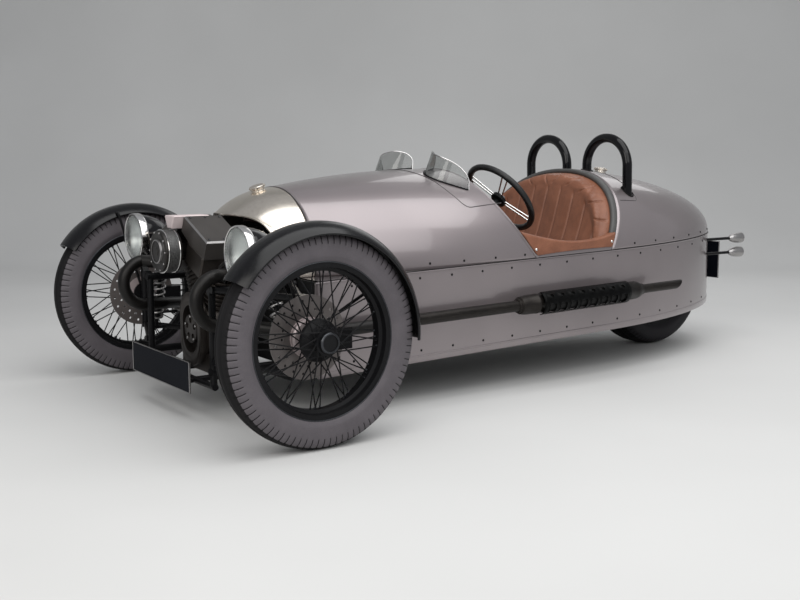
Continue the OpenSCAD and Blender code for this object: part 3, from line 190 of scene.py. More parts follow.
# Nodes: arithmetic on sockets, and one method for every other node.
class Wire:
    """A socket whose sums, products and comparisons add Math nodes to its tree."""

    def __init__(self, tree, socket):
        self.tree, self.socket = tree, socket

    def math(self, operation, other, swapped=False):
        pair = (other, self) if swapped else (self, other)
        return self.tree.node("ShaderNodeMath", {"operation": operation}, dict(enumerate(pair)))

    def __add__(self, other): return self.math("ADD", other)
    def __radd__(self, other): return self.math("ADD", other, True)
    def __sub__(self, other): return self.math("SUBTRACT", other)
    def __rsub__(self, other): return self.math("SUBTRACT", other, True)
    def __mul__(self, other): return self.math("MULTIPLY", other)
    def __rmul__(self, other): return self.math("MULTIPLY", other, True)
    def __pow__(self, other): return self.math("POWER", other)
    def __rpow__(self, other): return self.math("POWER", other, True)
    def __gt__(self, other): return self.math("GREATER_THAN", other)
    def __lt__(self, other): return self.math("LESS_THAN", other)


class Nodes:
    """A node tree and the one way in which nodes are added to it."""

    def __init__(self, tree):
        self.tree = tree

    def add(self, kind, settings=None, inputs=None):
        made = self.tree.nodes.new(kind)
        for name, value in (settings or {}).items():
            if name == "stops":
                ramp = made.color_ramp.elements
                while len(ramp) < len(value):
                    ramp.new(0.5)
                for stop, (place, colour) in zip(ramp, value):
                    stop.position, stop.color = place, (*colour, 1)
            else:
                setattr(made, name, value)
        for key, value in (inputs or {}).items():
            socket = made.inputs[key]
            if isinstance(value, Wire):
                self.tree.links.new(value.socket, socket)
            else:
                socket.default_value = value
        return made

    def node(self, kind, settings=None, inputs=None, output=0):
        return Wire(self, self.add(kind, settings, inputs).outputs[output])


class Finish(Nodes):
    """A procedural material round one Principled shader."""

    def __init__(self, name, **constants):
        self.material = bpy.data.materials.new(name)
        self.material.use_nodes = True
        super().__init__(self.material.node_tree)
        self.shader = self.tree.nodes["Principled BSDF"]
        for key, value in constants.items():
            self.shader.inputs[key.replace("_", " ")].default_value = value
        self.at = self.node("ShaderNodeTexCoord", output="Object")

    def noise(self, scale, detail=3.0, stretch=(1, 1, 1), distortion=0.0):
        place = self.node("ShaderNodeMapping", {}, {"Vector": self.at, "Scale": stretch})
        return self.node("ShaderNodeTexNoise", {}, {
            "Vector": place, "Scale": scale, "Detail": detail, "Distortion": distortion})

    def cells(self, scale, feature="F1"):
        return self.node("ShaderNodeTexVoronoi", {"feature": feature},
                         {"Vector": self.at, "Scale": scale}, "Distance")

    def ramp(self, value, *stops):
        return self.node("ShaderNodeValToRGB", {"stops": stops}, {"Fac": value})

    def mix(self, share, a, b):
        return self.node("ShaderNodeMix", {"data_type": "RGBA"}, {0: share, 6: a, 7: b}, 2)

    def part(self, axis):
        return self.node("ShaderNodeSeparateXYZ", {}, {0: self.at}, axis)

    def shade(self, **inputs):
        for key, value in inputs.items():
            self.tree.links.new(value.socket, self.shader.inputs[key.replace("_", " ")])
        return self

    def bump(self, height, strength, distance):
        return self.shade(Normal=self.node("ShaderNodeBump", {}, {
            "Height": height, "Strength": strength, "Distance": distance}))


def darker(colour, share):
    return [c * share for c in colour]


def coachwork(name, dark, light):
    f = Finish(name, Metallic=0.62, Coat_Weight=0.7, Coat_Roughness=0.05, IOR=1.5)
    cloud, flake = f.noise(2.2, 2), f.noise(1400, 1)
    colour = f.ramp(cloud * 0.75 + flake * 0.25, (0.3, dark), (0.72, light))
    f.shade(Base_Color=colour, Roughness=0.27 + flake * 0.1)
    return f.bump(flake, 0.03, 0.0003).material


def brushed(name, dark, light, rough, stretch, metallic=1.0, grain=1.0):
    f = Finish(name, Metallic=metallic)
    lines, cloud = f.noise(300, 4, stretch), f.noise(7, 4)
    colour = f.ramp(lines * 0.55 + cloud * 0.45, (0.34, dark), (0.68, light))
    f.shade(Base_Color=colour,
            Roughness=rough + (lines - 0.5) * (0.18 * grain) + (cloud - 0.5) * (0.12 * grain))
    return f.bump(lines, 0.05 * grain, 0.0004).material


def enamel(name, dark, light, rough, coat, shine=0.2):
    f = Finish(name, Coat_Weight=coat, Coat_Roughness=0.04, Specular_IOR_Level=shine)
    cloud, dust = f.noise(5, 3), f.noise(120, 5)
    f.shade(Base_Color=f.ramp(cloud * 0.6 + dust * 0.4, (0.35, dark), (0.7, light)),
            Roughness=rough + (dust - 0.5) * 0.14)
    return f.bump(dust, 0.04, 0.0004).material


def casting(name, dark, light, rough, metallic, grain):
    f = Finish(name, Metallic=metallic)
    sand, cloud = f.noise(grain, 4), f.noise(9, 4)
    f.shade(Base_Color=f.ramp(cloud * 0.6 + sand * 0.4, (0.3, dark), (0.72, light)),
            Roughness=rough + (cloud - 0.5) * 0.2 + (sand - 0.5) * 0.1)
    return f.bump(sand, 0.16, 0.0006).material


def hide(name, dark, mid, light, rough=0.46):
    """Leather: pebbled grain, mottled dye, and painted shade darkening the grain's creases."""
    f = Finish(name, Specular_IOR_Level=0.4)
    grain = f.cells(520, "DISTANCE_TO_EDGE")
    mottle, fine = f.noise(16, 5, distortion=0.4), f.noise(260, 3)
    pebble = f.node("ShaderNodeMapRange", {}, {0: grain, 1: 0.0, 2: 0.16, 3: 0.0, 4: 1.0})
    colour = f.ramp(mottle * 0.7 + fine * 0.3, (0.25, dark), (0.52, mid), (0.78, light))
    # Painted shade: the colour darkens towards the edges of the grain's cells, in its creases.
    shaded = f.mix((1 - pebble) * 0.28, colour, (*darker(dark, 0.55), 1))
    f.shade(Base_Color=shaded, Roughness=rough + (mottle - 0.5) * 0.22 - pebble * 0.06)
    return f.bump(pebble * 0.6 + fine * 0.4, 0.22, 0.0007).material


def rubber(name, dark, light, rough, shine=0.35):
    f = Finish(name, Specular_IOR_Level=shine)
    dust, fine = f.noise(14, 5), f.noise(300, 3)
    f.shade(Base_Color=f.ramp(dust * 0.65 + fine * 0.35, (0.3, dark), (0.75, light)),
            Roughness=rough + (dust - 0.5) * 0.16)
    return f.bump(fine, 0.12, 0.0005).material


def clear(name, tint, rough, smear):
    f = Finish(name, Transmission_Weight=1.0, IOR=1.46)
    cloud = f.noise(30, 3)
    return f.shade(Base_Color=f.ramp(cloud, (0.3, tint), (0.7, darker(tint, 0.94))),
                   Roughness=rough + cloud * smear).material


def mesh_weave(name, dark, light, pitch):
    """Wire gauze round the filter: fine cells that darken towards their middles."""
    f = Finish(name, Metallic=0.6)
    weave = f.cells(pitch)
    f.shade(Base_Color=f.ramp(weave, (0.25, light), (0.6, dark)), Roughness=0.4 + weave * 0.3)
    return f.bump(weave, 0.4, 0.0008).material


def disc_steel(name, bell, steel, bell_r):
    """Brake disc: turned steel outside its pale bell, told apart by the distance from the wheel's axis."""
    f = Finish(name, Metallic=0.35)
    x, z = f.part(0) - AXLE_X / METRE, f.part(2) - FRONT_R / METRE
    radius = (x * x + z * z) ** 0.5
    lines, cloud = f.noise(260, 3), f.noise(9, 4)
    shade = f.ramp(lines * 0.5 + cloud * 0.5, (0.3, darker(steel, 0.8)), (0.7, steel))
    pale = f.ramp(cloud, (0.3, darker(bell, 0.88)), (0.7, bell))
    f.shade(Base_Color=f.mix(radius > bell_r / METRE, pale, shade), Roughness=0.34 + (cloud - 0.5) * 0.16)
    return f.bump(lines, 0.06, 0.0004).material


# Finishes: a darker and a lighter colour, then roughness and what else the maker takes.
LENGTHWISE = (1, 1, 0.2)
PAINT = coachwork("mauve_grey_paint", (0.235, 0.205, 0.210), (0.300, 0.264, 0.268))
# Painted shade: a near-black copy of the body paint, for the ledge, the cowl joint and the panel outlines.
PAINT_SHADE = coachwork("ledge_paint", (0.060, 0.053, 0.055), (0.085, 0.076, 0.078))
COWL = brushed("polished_cowl_metal", (0.72, 0.66, 0.58), (0.80, 0.74, 0.66), 0.24, (0.3, 0.3, 0.3), grain=0.2)
LAMP_BOWL = brushed("lamp_bowl_metal", (0.80, 0.82, 0.81), (0.90, 0.91, 0.90), 0.42, (1, 1, 0.05), grain=0.4)
BRIGHT = brushed("bright_metal", (0.66, 0.65, 0.64), (0.80, 0.79, 0.78), 0.16, LENGTHWISE, grain=0.3)
SATIN_METAL = brushed("satin_metal", (0.30, 0.29, 0.29), (0.45, 0.44, 0.43), 0.36, LENGTHWISE)
DARK_METAL = brushed("dark_metal", (0.040, 0.042, 0.046), (0.085, 0.088, 0.095), 0.34, LENGTHWISE)
GLOSS_BLACK = enamel("gloss_black_enamel", (0.002, 0.002, 0.0025), (0.005, 0.005, 0.006), 0.12, 0.3, 0.15)
WING_BLACK = enamel("wing_enamel", (0.002, 0.002, 0.0025), (0.005, 0.005, 0.006), 0.22, 0.0, 0.3)
SATIN_BLACK = enamel("satin_black_coat", (0.004, 0.004, 0.0045), (0.009, 0.009, 0.010), 0.40, 0.0, 0.14)
MATT_BLACK = enamel("matt_black_coat", (0.005, 0.005, 0.005), (0.010, 0.010, 0.010), 0.62, 0.0, 0.12)
ENGINE = casting("dark_bronze_casting", (0.026, 0.022, 0.019), (0.056, 0.048, 0.043), 0.38, 0.7, 420)
ROCKER = casting("rocker_cover_casting", (0.046, 0.041, 0.038), (0.078, 0.071, 0.066), 0.42, 0.4, 520)
FILTER_CASE = casting("filter_case_coat", (0.012, 0.011, 0.010), (0.027, 0.024, 0.022), 0.36, 0.5, 420)
PLENUM = casting("pale_plenum_plate", (0.60, 0.51, 0.51), (0.72, 0.62, 0.61), 0.42, 0.15, 300)
PIPE = brushed("heat_darkened_pipe", (0.012, 0.010, 0.009), (0.030, 0.026, 0.023), 0.38, (0.1, 1, 1), 0.75)
HEADER = brushed("black_header_pipe", (0.005, 0.0045, 0.004), (0.013, 0.0115, 0.0105), 0.42, (1, 1, 1), 0.5)
LEATHER = hide("tan_leather", (0.155, 0.060, 0.033), (0.235, 0.092, 0.050), (0.305, 0.128, 0.073))
PIPING = hide("grey_edge_leather", (0.060, 0.060, 0.058), (0.082, 0.082, 0.080), (0.105, 0.105, 0.10), 0.55)
GRIP = hide("black_grip_leather", (0.006, 0.006, 0.006), (0.010, 0.010, 0.010), (0.014, 0.014, 0.014), 0.4)
SIDEWALL = rubber("sidewall_rubber", (0.074, 0.066, 0.073), (0.110, 0.099, 0.108), 0.6)
# Painted shade: the rear sidewall is the tyre rubber darkened, as the rear wheel sits in shadow under the body.
REAR_WALL_SHADED = rubber("rear_sidewall_rubber", (0.016, 0.015, 0.017), (0.028, 0.026, 0.029), 0.65, 0.25)
TREAD = rubber("tread_rubber", (0.005, 0.005, 0.0055), (0.011, 0.010, 0.011), 0.75, 0.2)
CARPET = rubber("black_carpet", (0.006, 0.006, 0.006), (0.012, 0.012, 0.012), 0.9)
DISC = disc_steel("brake_disc", (0.62, 0.53, 0.53), (0.16, 0.142, 0.136), 66)
LENS = clear("lamp_glass", (0.95, 0.97, 0.96), 0.16, 0.12)
SCREEN = clear("tinted_screen", (0.56, 0.57, 0.56), 0.01, 0.02)
RED = clear("red_lamp_lens", (0.45, 0.015, 0.012), 0.05, 0.03)
DIAL = enamel("dial_face", (0.55, 0.53, 0.48), (0.62, 0.60, 0.55), 0.5, 0.3)
GAUZE = mesh_weave("filter_gauze", (0.035, 0.035, 0.035), (0.19, 0.19, 0.185), 620)
SHIELD = enamel("shield_coat", (0.0015, 0.0015, 0.0015), (0.004, 0.004, 0.004), 0.3, 0.0, 0.07)
PLATE = enamel("blank_plate", (0.003, 0.004, 0.007), (0.006, 0.007, 0.011), 0.5, 0.0, 0.04)


def new_object(name, data):
    made = bpy.data.objects.new(name, data)
    bpy.context.scene.collection.objects.link(made)
    return made


def settle(made, body, stands_for=()):
    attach(made, body)
    if stands_for:
        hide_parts(*stands_for)
    return made


def baked(made):
    """Gives the object its evaluated mesh in place of its modifiers."""
    bpy.context.view_layer.update()
    solid = bpy.data.meshes.new_from_object(made.evaluated_get(bpy.context.evaluated_depsgraph_get()))
    made.modifiers.clear()
    made.data = solid
    return solid


class Piece:
    """Gathers surfaces in millimetres, and becomes one mesh object in metres."""

    def __init__(self, name):
        self.name, self.points, self.faces, self.kinds, self.finishes = name, [], [], [], []

    def add(self, points, faces, finish, inside=None):
        """Takes a surface, and turns it over if it faces inwards."""
        points = [Vector(p) for p in points]
        total = 0.0
        for face in faces:
            a, b, c = (points[face[k]] for k in (0, 1, 2))
            out = (b - a).cross(c - a)
            if len(face) == 4:
                out = out + (c - a).cross(points[face[3]] - a)
            centre = sum((points[k] for k in face), Vector()) / len(face)
            total += out.dot(centre - Vector(inside) if inside else centre)
        if finish not in self.finishes:
            self.finishes.append(finish)
        kind, start = self.finishes.index(finish), len(self.points)
        self.points += points
        for face in faces:
            self.faces.append([start + k for k in (reversed(face) if total < 0 else face)])
            self.kinds.append(kind)
        return self

    def grid(self, rows, finish, inside=None, loop=False, caps=False, place=Matrix()):
        """Quads over rows of points; loop closes each row, and caps close the first and last rows."""
        columns = len(rows[0])
        points = [place @ Vector(p) for row in rows for p in row]
        span = columns if loop else columns - 1
        faces = [(i * columns + j, i * columns + (j + 1) % columns,
                  (i + 1) * columns + (j + 1) % columns, (i + 1) * columns + j)
                 for i in range(len(rows) - 1) for j in range(span)]
        if caps:
            last = (len(rows) - 1) * columns
            faces += [tuple(range(columns))[::-1], tuple(range(last, last + columns))]
        return self.add(points, faces, finish, place @ Vector(inside) if inside else None)

    def lathe(self, profile, finish, place, steps=64, closed=False, inside=None):
        """A profile of (radius, height) pairs turned about the local Z axis; ends on the axis are closed."""
        count = len(profile)
        points = [place @ Vector(polar(r, a, h)) for a in circle(steps) for r, h in profile]
        faces = []
        for k in range(steps):
            n = (k + 1) % steps
            for j in range(count if closed else count - 1):
                m = (j + 1) % count
                quad = [k * count + j, n * count + j, n * count + m, k * count + m]
                if profile[j][0] == 0:
                    del quad[1]
                elif profile[m][0] == 0:
                    del quad[2]
                faces.append(quad)
        return self.add(points, faces, finish, place @ Vector(inside) if inside else None)

    def tube(self, path, radius, finish, sides=12, closed=False, place=Matrix()):
        """A round bar along a path."""
        path = [Vector(p) for p in path]
        count = len(path)
        normal, rows = None, []
        for k, p in enumerate(path):
            before = path[(k - 1) % count] if closed or k else p
            after = path[(k + 1) % count] if closed or k < count - 1 else p
            forward = (after - before).normalized()
            if normal is None:
                normal = forward.orthogonal().normalized()
            normal = (normal - forward * normal.dot(forward)).normalized()
            side = forward.cross(normal)
            rows.append([p + (normal * math.cos(t) + side * math.sin(t)) * radius for t in circle(sides)])
        if closed:
            rows.append(rows[0])
        return self.grid(rows, finish, loop=True, caps=not closed, place=place)

    def block(self, size, finish, place, edge=3.0):
        """A box about the local origin with chamfered edges."""
        x, y, z = (v / 2 for v in size)
        rows = []
        for h, inset in ((-z, edge), (edge - z, 0), (z - edge, 0), (z, edge)):
            a, b = x - inset, y - inset
            rows.append([(a, edge - b, h), (a, b - edge, h), (a - edge, b, h), (edge - a, b, h),
                         (-a, b - edge, h), (-a, edge - b, h), (edge - a, -b, h), (a - edge, -b, h)])
        return self.grid(rows, finish, loop=True, caps=True, place=place)

    def make(self, body, stands_for=(), slot=None, wall=None, sharp=38, levels=0):
        mesh = bpy.data.meshes.new(self.name)
        mesh.from_pydata([p / METRE for p in self.points], [], self.faces)
        for finish in self.finishes:
            mesh.materials.append(finish)
        mesh.polygons.foreach_set("material_index", self.kinds)
        weld = bmesh.new()
        weld.from_mesh(mesh)
        bmesh.ops.remove_doubles(weld, verts=weld.verts, dist=1e-6)
        weld.to_mesh(mesh)
        weld.free()
        mesh.validate()
        mesh.shade_smooth()
        mesh.set_sharp_from_angle(angle=math.radians(sharp))
        made = new_object(self.name, mesh)
        if wall:
            shell = made.modifiers.new("wall", "SOLIDIFY")
            shell.thickness, shell.offset = wall / METRE, -1
        if levels:
            soft = made.modifiers.new("soft", "SUBSURF")
            soft.levels = soft.render_levels = levels
        return settle(made, body, stands_for)


# Geometry Nodes: one tree for round heads and one for six-sided heads, both set out on points.
class Heads(Nodes):
    """A tree that puts one small shape on every point, turned along the point's own direction."""

    def __init__(self, name, kind, **shape):
        super().__init__(bpy.data.node_groups.new(name, "GeometryNodeTree"))
        for socket, way, sort in (("Geometry", "INPUT", "Geometry"), ("Radius", "INPUT", "Float"),
                                  ("Rise", "INPUT", "Float"), ("Finish", "INPUT", "Material"),
                                  ("Geometry", "OUTPUT", "Geometry")):
            self.tree.interface.new_socket(socket, in_out=way, socket_type=f"NodeSocket{sort}")
        given = self.add("NodeGroupInput")
        spots, radius, rise, finish = (Wire(self, given.outputs[k]) for k in range(4))
        heading = self.node("GeometryNodeInputNamedAttribute", {"data_type": "FLOAT_VECTOR"}, {"Name": "out"})
        placed = self.node("GeometryNodeInstanceOnPoints", {}, {
            "Points": spots, "Instance": self.node(kind, {}, shape),
            "Rotation": self.node("FunctionNodeAlignRotationToVector", {"axis": "Z"}, {"Vector": heading}),
            "Scale": self.node("ShaderNodeCombineXYZ", {}, {0: radius, 1: radius, 2: rise})})
        real = self.node("GeometryNodeRealizeInstances", {}, {0: placed})
        smooth = self.node("GeometryNodeSetShadeSmooth", {}, {0: real})
        done = self.node("GeometryNodeSetMaterial", {}, {"Geometry": smooth, "Material": finish})
        self.add("NodeGroupOutput", {}, {0: done})

    def spread_on(self, name, spots, body, finish, slot, radius, rise):
        """Spots are pairs of a point and its direction, in millimetres."""
        mesh = bpy.data.meshes.new(name)
        mesh.from_pydata([Vector(p) / METRE for p, _ in spots], [], [])
        out = mesh.attributes.new("out", "FLOAT_VECTOR", "POINT")
        out.data.foreach_set("vector", [c for _, d in spots for c in d])
        made = new_object(name, mesh)
        grown = made.modifiers.new("scatter", "NODES")
        grown.node_group = self.tree
        values = {"Radius": radius / METRE, "Rise": rise / METRE, "Finish": finish}
        for item in self.tree.interface.items_tree:
            if item.in_out == "INPUT" and item.name in values:
                grown[item.identifier] = values[item.name]
        baked(made)
        return settle(made, body)


RIVETS = Heads("dome_heads", "GeometryNodeMeshUVSphere", Segments=10, Rings=6, Radius=1.0)
BOLTS = Heads("hex_heads", "GeometryNodeMeshCylinder", Vertices=6, Radius=1.0, Depth=1.0)


def bent(points, radius, steps=9):
    """A path through points with each corner rounded off."""
    points = [Vector(p) for p in points]
    path = [points[0]]
    for a, b, c in zip(points, points[1:], points[2:]):
        r = min(radius, (b - a).length / 2.05, (c - b).length / 2.05)
        start, end = b + (a - b).normalized() * r, b + (c - b).normalized() * r
        path += [curve(start, b, end, t) for t in spread(steps)]
    return path + [points[-1]]


# Upper body and side panels
def scuttle_and_bonnet():
    rows = [[dome(lerp(COWL_S, scuttle_edge(drop_at(a)), u), a) for a in ANGLES] for u in spread(61)]
    skin = Piece("bonnet_skin").grid(rows, PAINT, (-500, 0, SEAM_Z), place=RAKED)
    skin.make("car", ["bonnet"], "body_paint", wall=SKIN)
    edge = [dome(scuttle_edge(drop_at(a)), a, 3) for a in ANGLES]
    Piece("scuttle_roll").tube(edge, 4.5, PAINT, 8, place=RAKED).make("car", slot="body_paint")


def tail_deck():
    rows = [[dome(lerp(rim_edge(drop_at(a)), TAIL_S - 1, crowded(u)), a) for a in ANGLES] for u in spread(73)]
    deck = Piece("tail_skin").grid(rows, PAINT, (-1900, 0, SEAM_Z), place=RAKED)
    deck.make("car", ["rear_deck"], "body_paint", wall=SKIN)


def lower_panels():
    """Both side panels as one skin that runs round the tail, with a fold above its bottom edge."""
    stations = spread(60, PANEL_S, FLANK_END_S)[:-1]
    stations += [lerp(FLANK_END_S, TAIL_S, crowded(u)) for u in spread(60)]
    fold = ((0, 8), (0, 1.5), (2, 0), (20, 0), (22, -2), (26, -2), (28, 0))
    heights = [(FLOOR_Z + up, inset) for up, inset in fold]
    heights += [(250, 0), (350, 0), (420, 0), (SEAM_Z - 10, 0), (SEAM_Z - 2, 0), (SEAM_Z - 0.5, 3)]
    rows = []
    for z, inset in heights:
        left = [station(s, flank_half(s, inset), z) for s in (min(s, TAIL_S - inset) for s in stations)]
        rows.append(left + [(x, -y, z) for x, y, _ in reversed(left[:-1])])
    skin = Piece("side_skin").grid(rows, PAINT, (-1000, 0, 300), place=RAKED)
    skin.make("car", ["side_panel_left", "side_panel_right"], "body_paint", wall=SKIN)
    seam = Piece("seam_bead")
    ledge = spread(50, COWL_S - 60, 1240)
    for side in (LEFT, RIGHT):
        run = [station(s, side * (flank_half(s) + 0.5), SEAM_Z - 1) for s in stations]
        seam.tube(run, 3.2, PAINT, 8, place=RAKED)
        seam.tube([p + Vector((0, 0, 4.2)) for p in run], 1.5, MATT_BLACK, 6, place=RAKED)
        # The ledge strip is body paint darkened as painted shade, for the shadow where the bonnet tapers in.
        seam.grid([[station(s, side * (upper_half(s) - 6), SEAM_Z - 1.5) for s in ledge],
                   [station(s, side * flank_half(s, 2), SEAM_Z - 1.5) for s in ledge]],
                  PAINT_SHADE, (-300, side * 400, 300), place=RAKED)
    seam.make("car", slot="body_paint")


RIVET_PITCH, RIVET_END_S = 150, 2560


def body_rivets():
    low, seam, upper = [], [], []
    for side in (LEFT, RIGHT):
        for s in range(330, RIVET_END_S, RIVET_PITCH):
            y, slope = side * flank_half(s), (flank_half(s + 5) - flank_half(s - 5)) / 10
            for row, z in ((low, FLOOR_Z + 44), (seam, SEAM_Z - 24)):
                row.append((RAKED @ station(s, y, z), turned(RAKED, (slope, side, 0))))
        z = SEAM_Z + 22
        for s in (*range(400, 1160, RIVET_PITCH), *range(1790, RIVET_END_S, RIVET_PITCH)):
            upper.append((RAKED @ station(s, side * dome_y(s, z), z), turned(RAKED, (0, side, 0.1))))
    RIVETS.spread_on("body_rivets", low + seam + upper, "car", MATT_BLACK, "frame_black", 5.0, 2.4)


def raised_panels():
    """Dark lines of painted shade along the outlines of the screen panel on the scuttle and of the mounting panel at
    the hoops' feet.
    """
    lines = Piece("raised_panel_lines")
    scuttle = [(1096, 368), (916, 374), (880, 305), (862, 220), (844, 125), (838, 0)]
    mount = [(1772, 362), (1896, 352), (1904, 0)]
    for corners in (scuttle, mount):
        across = corners + [(s, -y) for s, y in reversed(corners[:-1])]
        path = bent([(s, y, 0) for s, y in across], 30)
        fine = [a.lerp(b, k / 12) for a, b in zip(path, path[1:]) for k in range(12)] + [path[-1]]
        # Painted shade: the outline tubes take the darkened copy of the body paint.
        lines.tube([on_dome(p.x, p.y, 0.4) for p in fine], 1.6, PAINT_SHADE, 6, place=RAKED)
    lines.make("car", slot="body_paint")


MOUTH_S, MOUTH_SWEEP, MOUTH_HALF, MOUTH_H, MOUTH_POWER = 72.0, 85.0, 250.0, 224.0, 4
CORE_LOW_Z, CORE_HIGH_Z, CORE_HALF, SLATS, TUBES = 478.0, 655.0, 200.0, 26, 9


def nose():
    def section(u, a, inset=0.0):
        r = math.radians(a)
        up = max(0.0, math.cos(r))
        back = dome(COWL_S, a, inset)
        middle = back + Vector((110, 0, -4 * up))
        y = (MOUTH_HALF - inset) * power_of(math.sin(r), MOUTH_POWER)
        front = station(MOUTH_S + MOUTH_SWEEP * (abs(y) / MOUTH_HALF) ** 2, y,
                        SEAM_Z + (MOUTH_H - inset) * power_of(up, MOUTH_POWER))
        return curve(back, middle, front, u)

    rows = [[section(u, a) for a in ANGLES] for u in spread(33)]
    cowl = Piece("nose_cowl_skin").grid(rows, COWL, (-60, 0, SEAM_Z), place=RAKED)
    cowl.make("car", ["nose_cowl"], "cowl_metal", wall=5)
    lip = Piece("cowl_lips").tube([section(1, a, 2) for a in ANGLES], 4.5, COWL, 8, place=RAKED)
    # Painted shade: a line of darkened body paint along the joint of cowl and bonnet.
    lip.tube([dome(COWL_S + 1, a) for a in ANGLES], 2.2, PAINT_SHADE, 6, place=RAKED)
    lip.make("car", slot="cowl_metal")
    grille = Piece("radiator_slats")
    for z in spread(SLATS, CORE_LOW_Z, CORE_HIGH_Z):
        grille.block((4, 410, 2.2), SATIN_BLACK, at(AXLE_X - 222, 0, z), 0.6)
    for y in spread(TUBES, -CORE_HALF, CORE_HALF):
        grille.block((6, 3, 182), SATIN_BLACK, at(AXLE_X - 221, y, 566), 0.8)
    grille.make("car", slot="radiator_core")


FUEL_CAP_S, NOSE_CAP_S, CAP_RIBS = 2015.0, 218.0, 16
CAP_PROFILE = ((0, 0), (27, 0), (27, 3), (25.5, 4), (25.5, 12), (28, 13), (30, 15), (30, 22), (28, 24.5),
               (22, 26), (12, 27), (0, 28))


def caps():
    piece = Piece("filler_cap_pair")
    for s, z, lean in ((FUEL_CAP_S, SEAM_Z + crown_h(FUEL_CAP_S), -11), (NOSE_CAP_S, 782.5, 17.5)):
        place = RAKED @ at(*station(s, 0, z)) @ turn(lean, "Y")
        piece.lathe(CAP_PROFILE, COWL, place, 48, inside=(0, 0, 14))
        for k in range(CAP_RIBS):
            piece.block((3.5, 5, 6), COWL, place @ turn(360 / CAP_RIBS * k, "Z") @ at(30, 0, 19), 1)
    piece.make("car", ["filler_caps"], "bright_caps")


# Cockpit
STRIP_TOP_Z = 506.0


def sill_strip_skins():
    piece = Piece("sill_strip_skin")
    for side in (LEFT, RIGHT):
        rows = []
        for z in spread(5, SEAM_Z, STRIP_TOP_Z):
            drop = height_drop(z)
            run = spread(40, scuttle_edge(drop), rim_edge(drop))
            rows.append([station(s, side * dome_y(s, z), z) for s in run])
        piece.grid(rows, PAINT, (-1250, 0, 480), place=RAKED)
    piece.make("car", ["sill_strips"], "body_paint", wall=SKIN)


VOXEL, PRESSURE, CLOTH_FRAMES, SWELL = 0.0065, 4.0, 20, 0.009


def soften(made):
    """Swells a padded piece by cloth simulation, outwards and within a limit, and subdivides it once."""
    remesh = made.modifiers.new("voxels", "REMESH")
    remesh.mode, remesh.voxel_size = "VOXEL", VOXEL
    start = [(v.co.copy(), v.normal.copy()) for v in baked(made).vertices]
    cloth = made.modifiers.new("cloth", "CLOTH")
    cloth.settings.use_pressure = True
    cloth.settings.uniform_pressure_force = PRESSURE
    cloth.settings.effector_weights.gravity = 0
    cloth.collision_settings.use_collision = False
    for step in range(1, CLOTH_FRAMES + 1):
        bpy.context.scene.frame_set(step)
    for vertex, (home, out) in zip(baked(made).vertices, start):
        vertex.co = home + out * clamp((vertex.co - home).dot(out), 0.0, SWELL)
    bpy.context.scene.frame_set(1)
    finer = made.modifiers.new("finer", "SUBSURF")
    finer.levels = finer.render_levels = 1
    baked(made).shade_smooth()
    return made


def sewn(made, depth):
    """Presses seams and pleats into a padded piece: depth takes a place and a normal in the raked frame."""
    level = RAKED.inverted()
    tilt = level.to_3x3()
    moves = [(v, v.normal * depth(level @ (v.co * METRE), tilt @ v.normal) / METRE) for v in made.data.vertices]
    for vertex, move in moves:
        vertex.co -= move
    made.data.update()


SEAT_FOOT, SEAT_MIDDLE, CHANNEL, ROLL = 186.0, 430.0, 86.0, 34.0
PLEATS = (50, 155, 260, 362, 464)


def seat_edge(z):
    return rim_edge(min(height_drop(z), 1.15))


def seat_outline(inset=19.0):
    """The seat back's border from its left foot over the dome to its right foot, as places in y and z."""
    left = [Vector((flank_half(seat_edge(z), 14 + inset), z, 0)) for z in spread(14, SEAT_FOOT, SEAM_Z - 8)]
    left += [dome(rim_edge(drop_at(a)), a, inset).yz.to_3d() for a in spread(61, 86, 0)]
    return left + [Vector((-p.x, p.y, 0)) for p in reversed(left[:-1])]


def channel_depth(y):
    """Sewn channels: a narrow crease at every seam, and a swell between the seams."""
    away = abs((y / CHANNEL + 0.5) % 1 - 0.5) * CHANNEL
    return 5.0 * math.exp(-(away / 4.0) ** 2) - 3.0 * math.sqrt(clamp(2 * away / CHANNEL))


def rounded(share):
    """Height of a quarter circle over a share of its radius."""
    return math.sqrt(1 - (1 - clamp(share)) ** 2)


def seat_back():
    """Bench back: upright sewn channels inside a rolled and pleated border."""
    border = seat_outline()
    marks, runs, run = [], [], 0.0
    for a, b in zip(border, border[1:]):
        for k in range(4):
            marks.append(a.lerp(b, k / 4))
            runs.append(run + (b - a).length * k / 4)
        run += (b - a).length
    near = KDTree(len(marks))
    for k, p in enumerate(marks):
        near.insert(p, k)
    near.balance()

    def thickness(y, z):
        inside, up = near.find((y, z, 0))[2], smooth_step((z - 520) / 260)
        return 20 + 46 * rounded(inside / ROLL) - lerp(30, 4, up) * smooth_step((inside - 28) / 44)

    foot = [border[-1].lerp(border[0], k / 24) for k in range(1, 24)]
    middle = Vector((0, SEAT_MIDDLE, 0))

    def loop(share, thick):
        row = []
        for p in border + foot:
            y, z, _ = middle.lerp(p, share)
            row.append(station(seat_edge(z) - (thickness(y, z) if thick else 0), y, z))
        return row

    loops = [loop(share, False) for share in (0, 0.5, 1)]
    loops += [loop(math.cos(math.pi / 2 * u), True) for u in spread(46)]
    piece = Piece("seat_back_pad").grid(loops, LEATHER, station(1700, 0, SEAT_MIDDLE), loop=True, place=RAKED)
    made = soften(piece.make("car", ["seat_back"], "tan_leather", sharp=180))

    def press(p, normal):
        if normal.x < 0.15:
            return 0.0
        _, index, inside = near.find((p.y, p.z, 0))
        away = abs(runs[index] - run / 2) + 0.8 * inside
        window = smooth_step(inside / 8) * (1 - smooth_step((inside - 32) / 18))
        pleats = sum(7.5 * math.exp(-((away - place) / 4.4) ** 2) for place in PLEATS)
        return channel_depth(p.y) * smooth_step((inside - 44) / 24) + pleats * window

    sewn(made, press)


CUSHION_S, CUSHION_HALF, CUSHION_ROUND = 1100.0, 374.0, 60.0


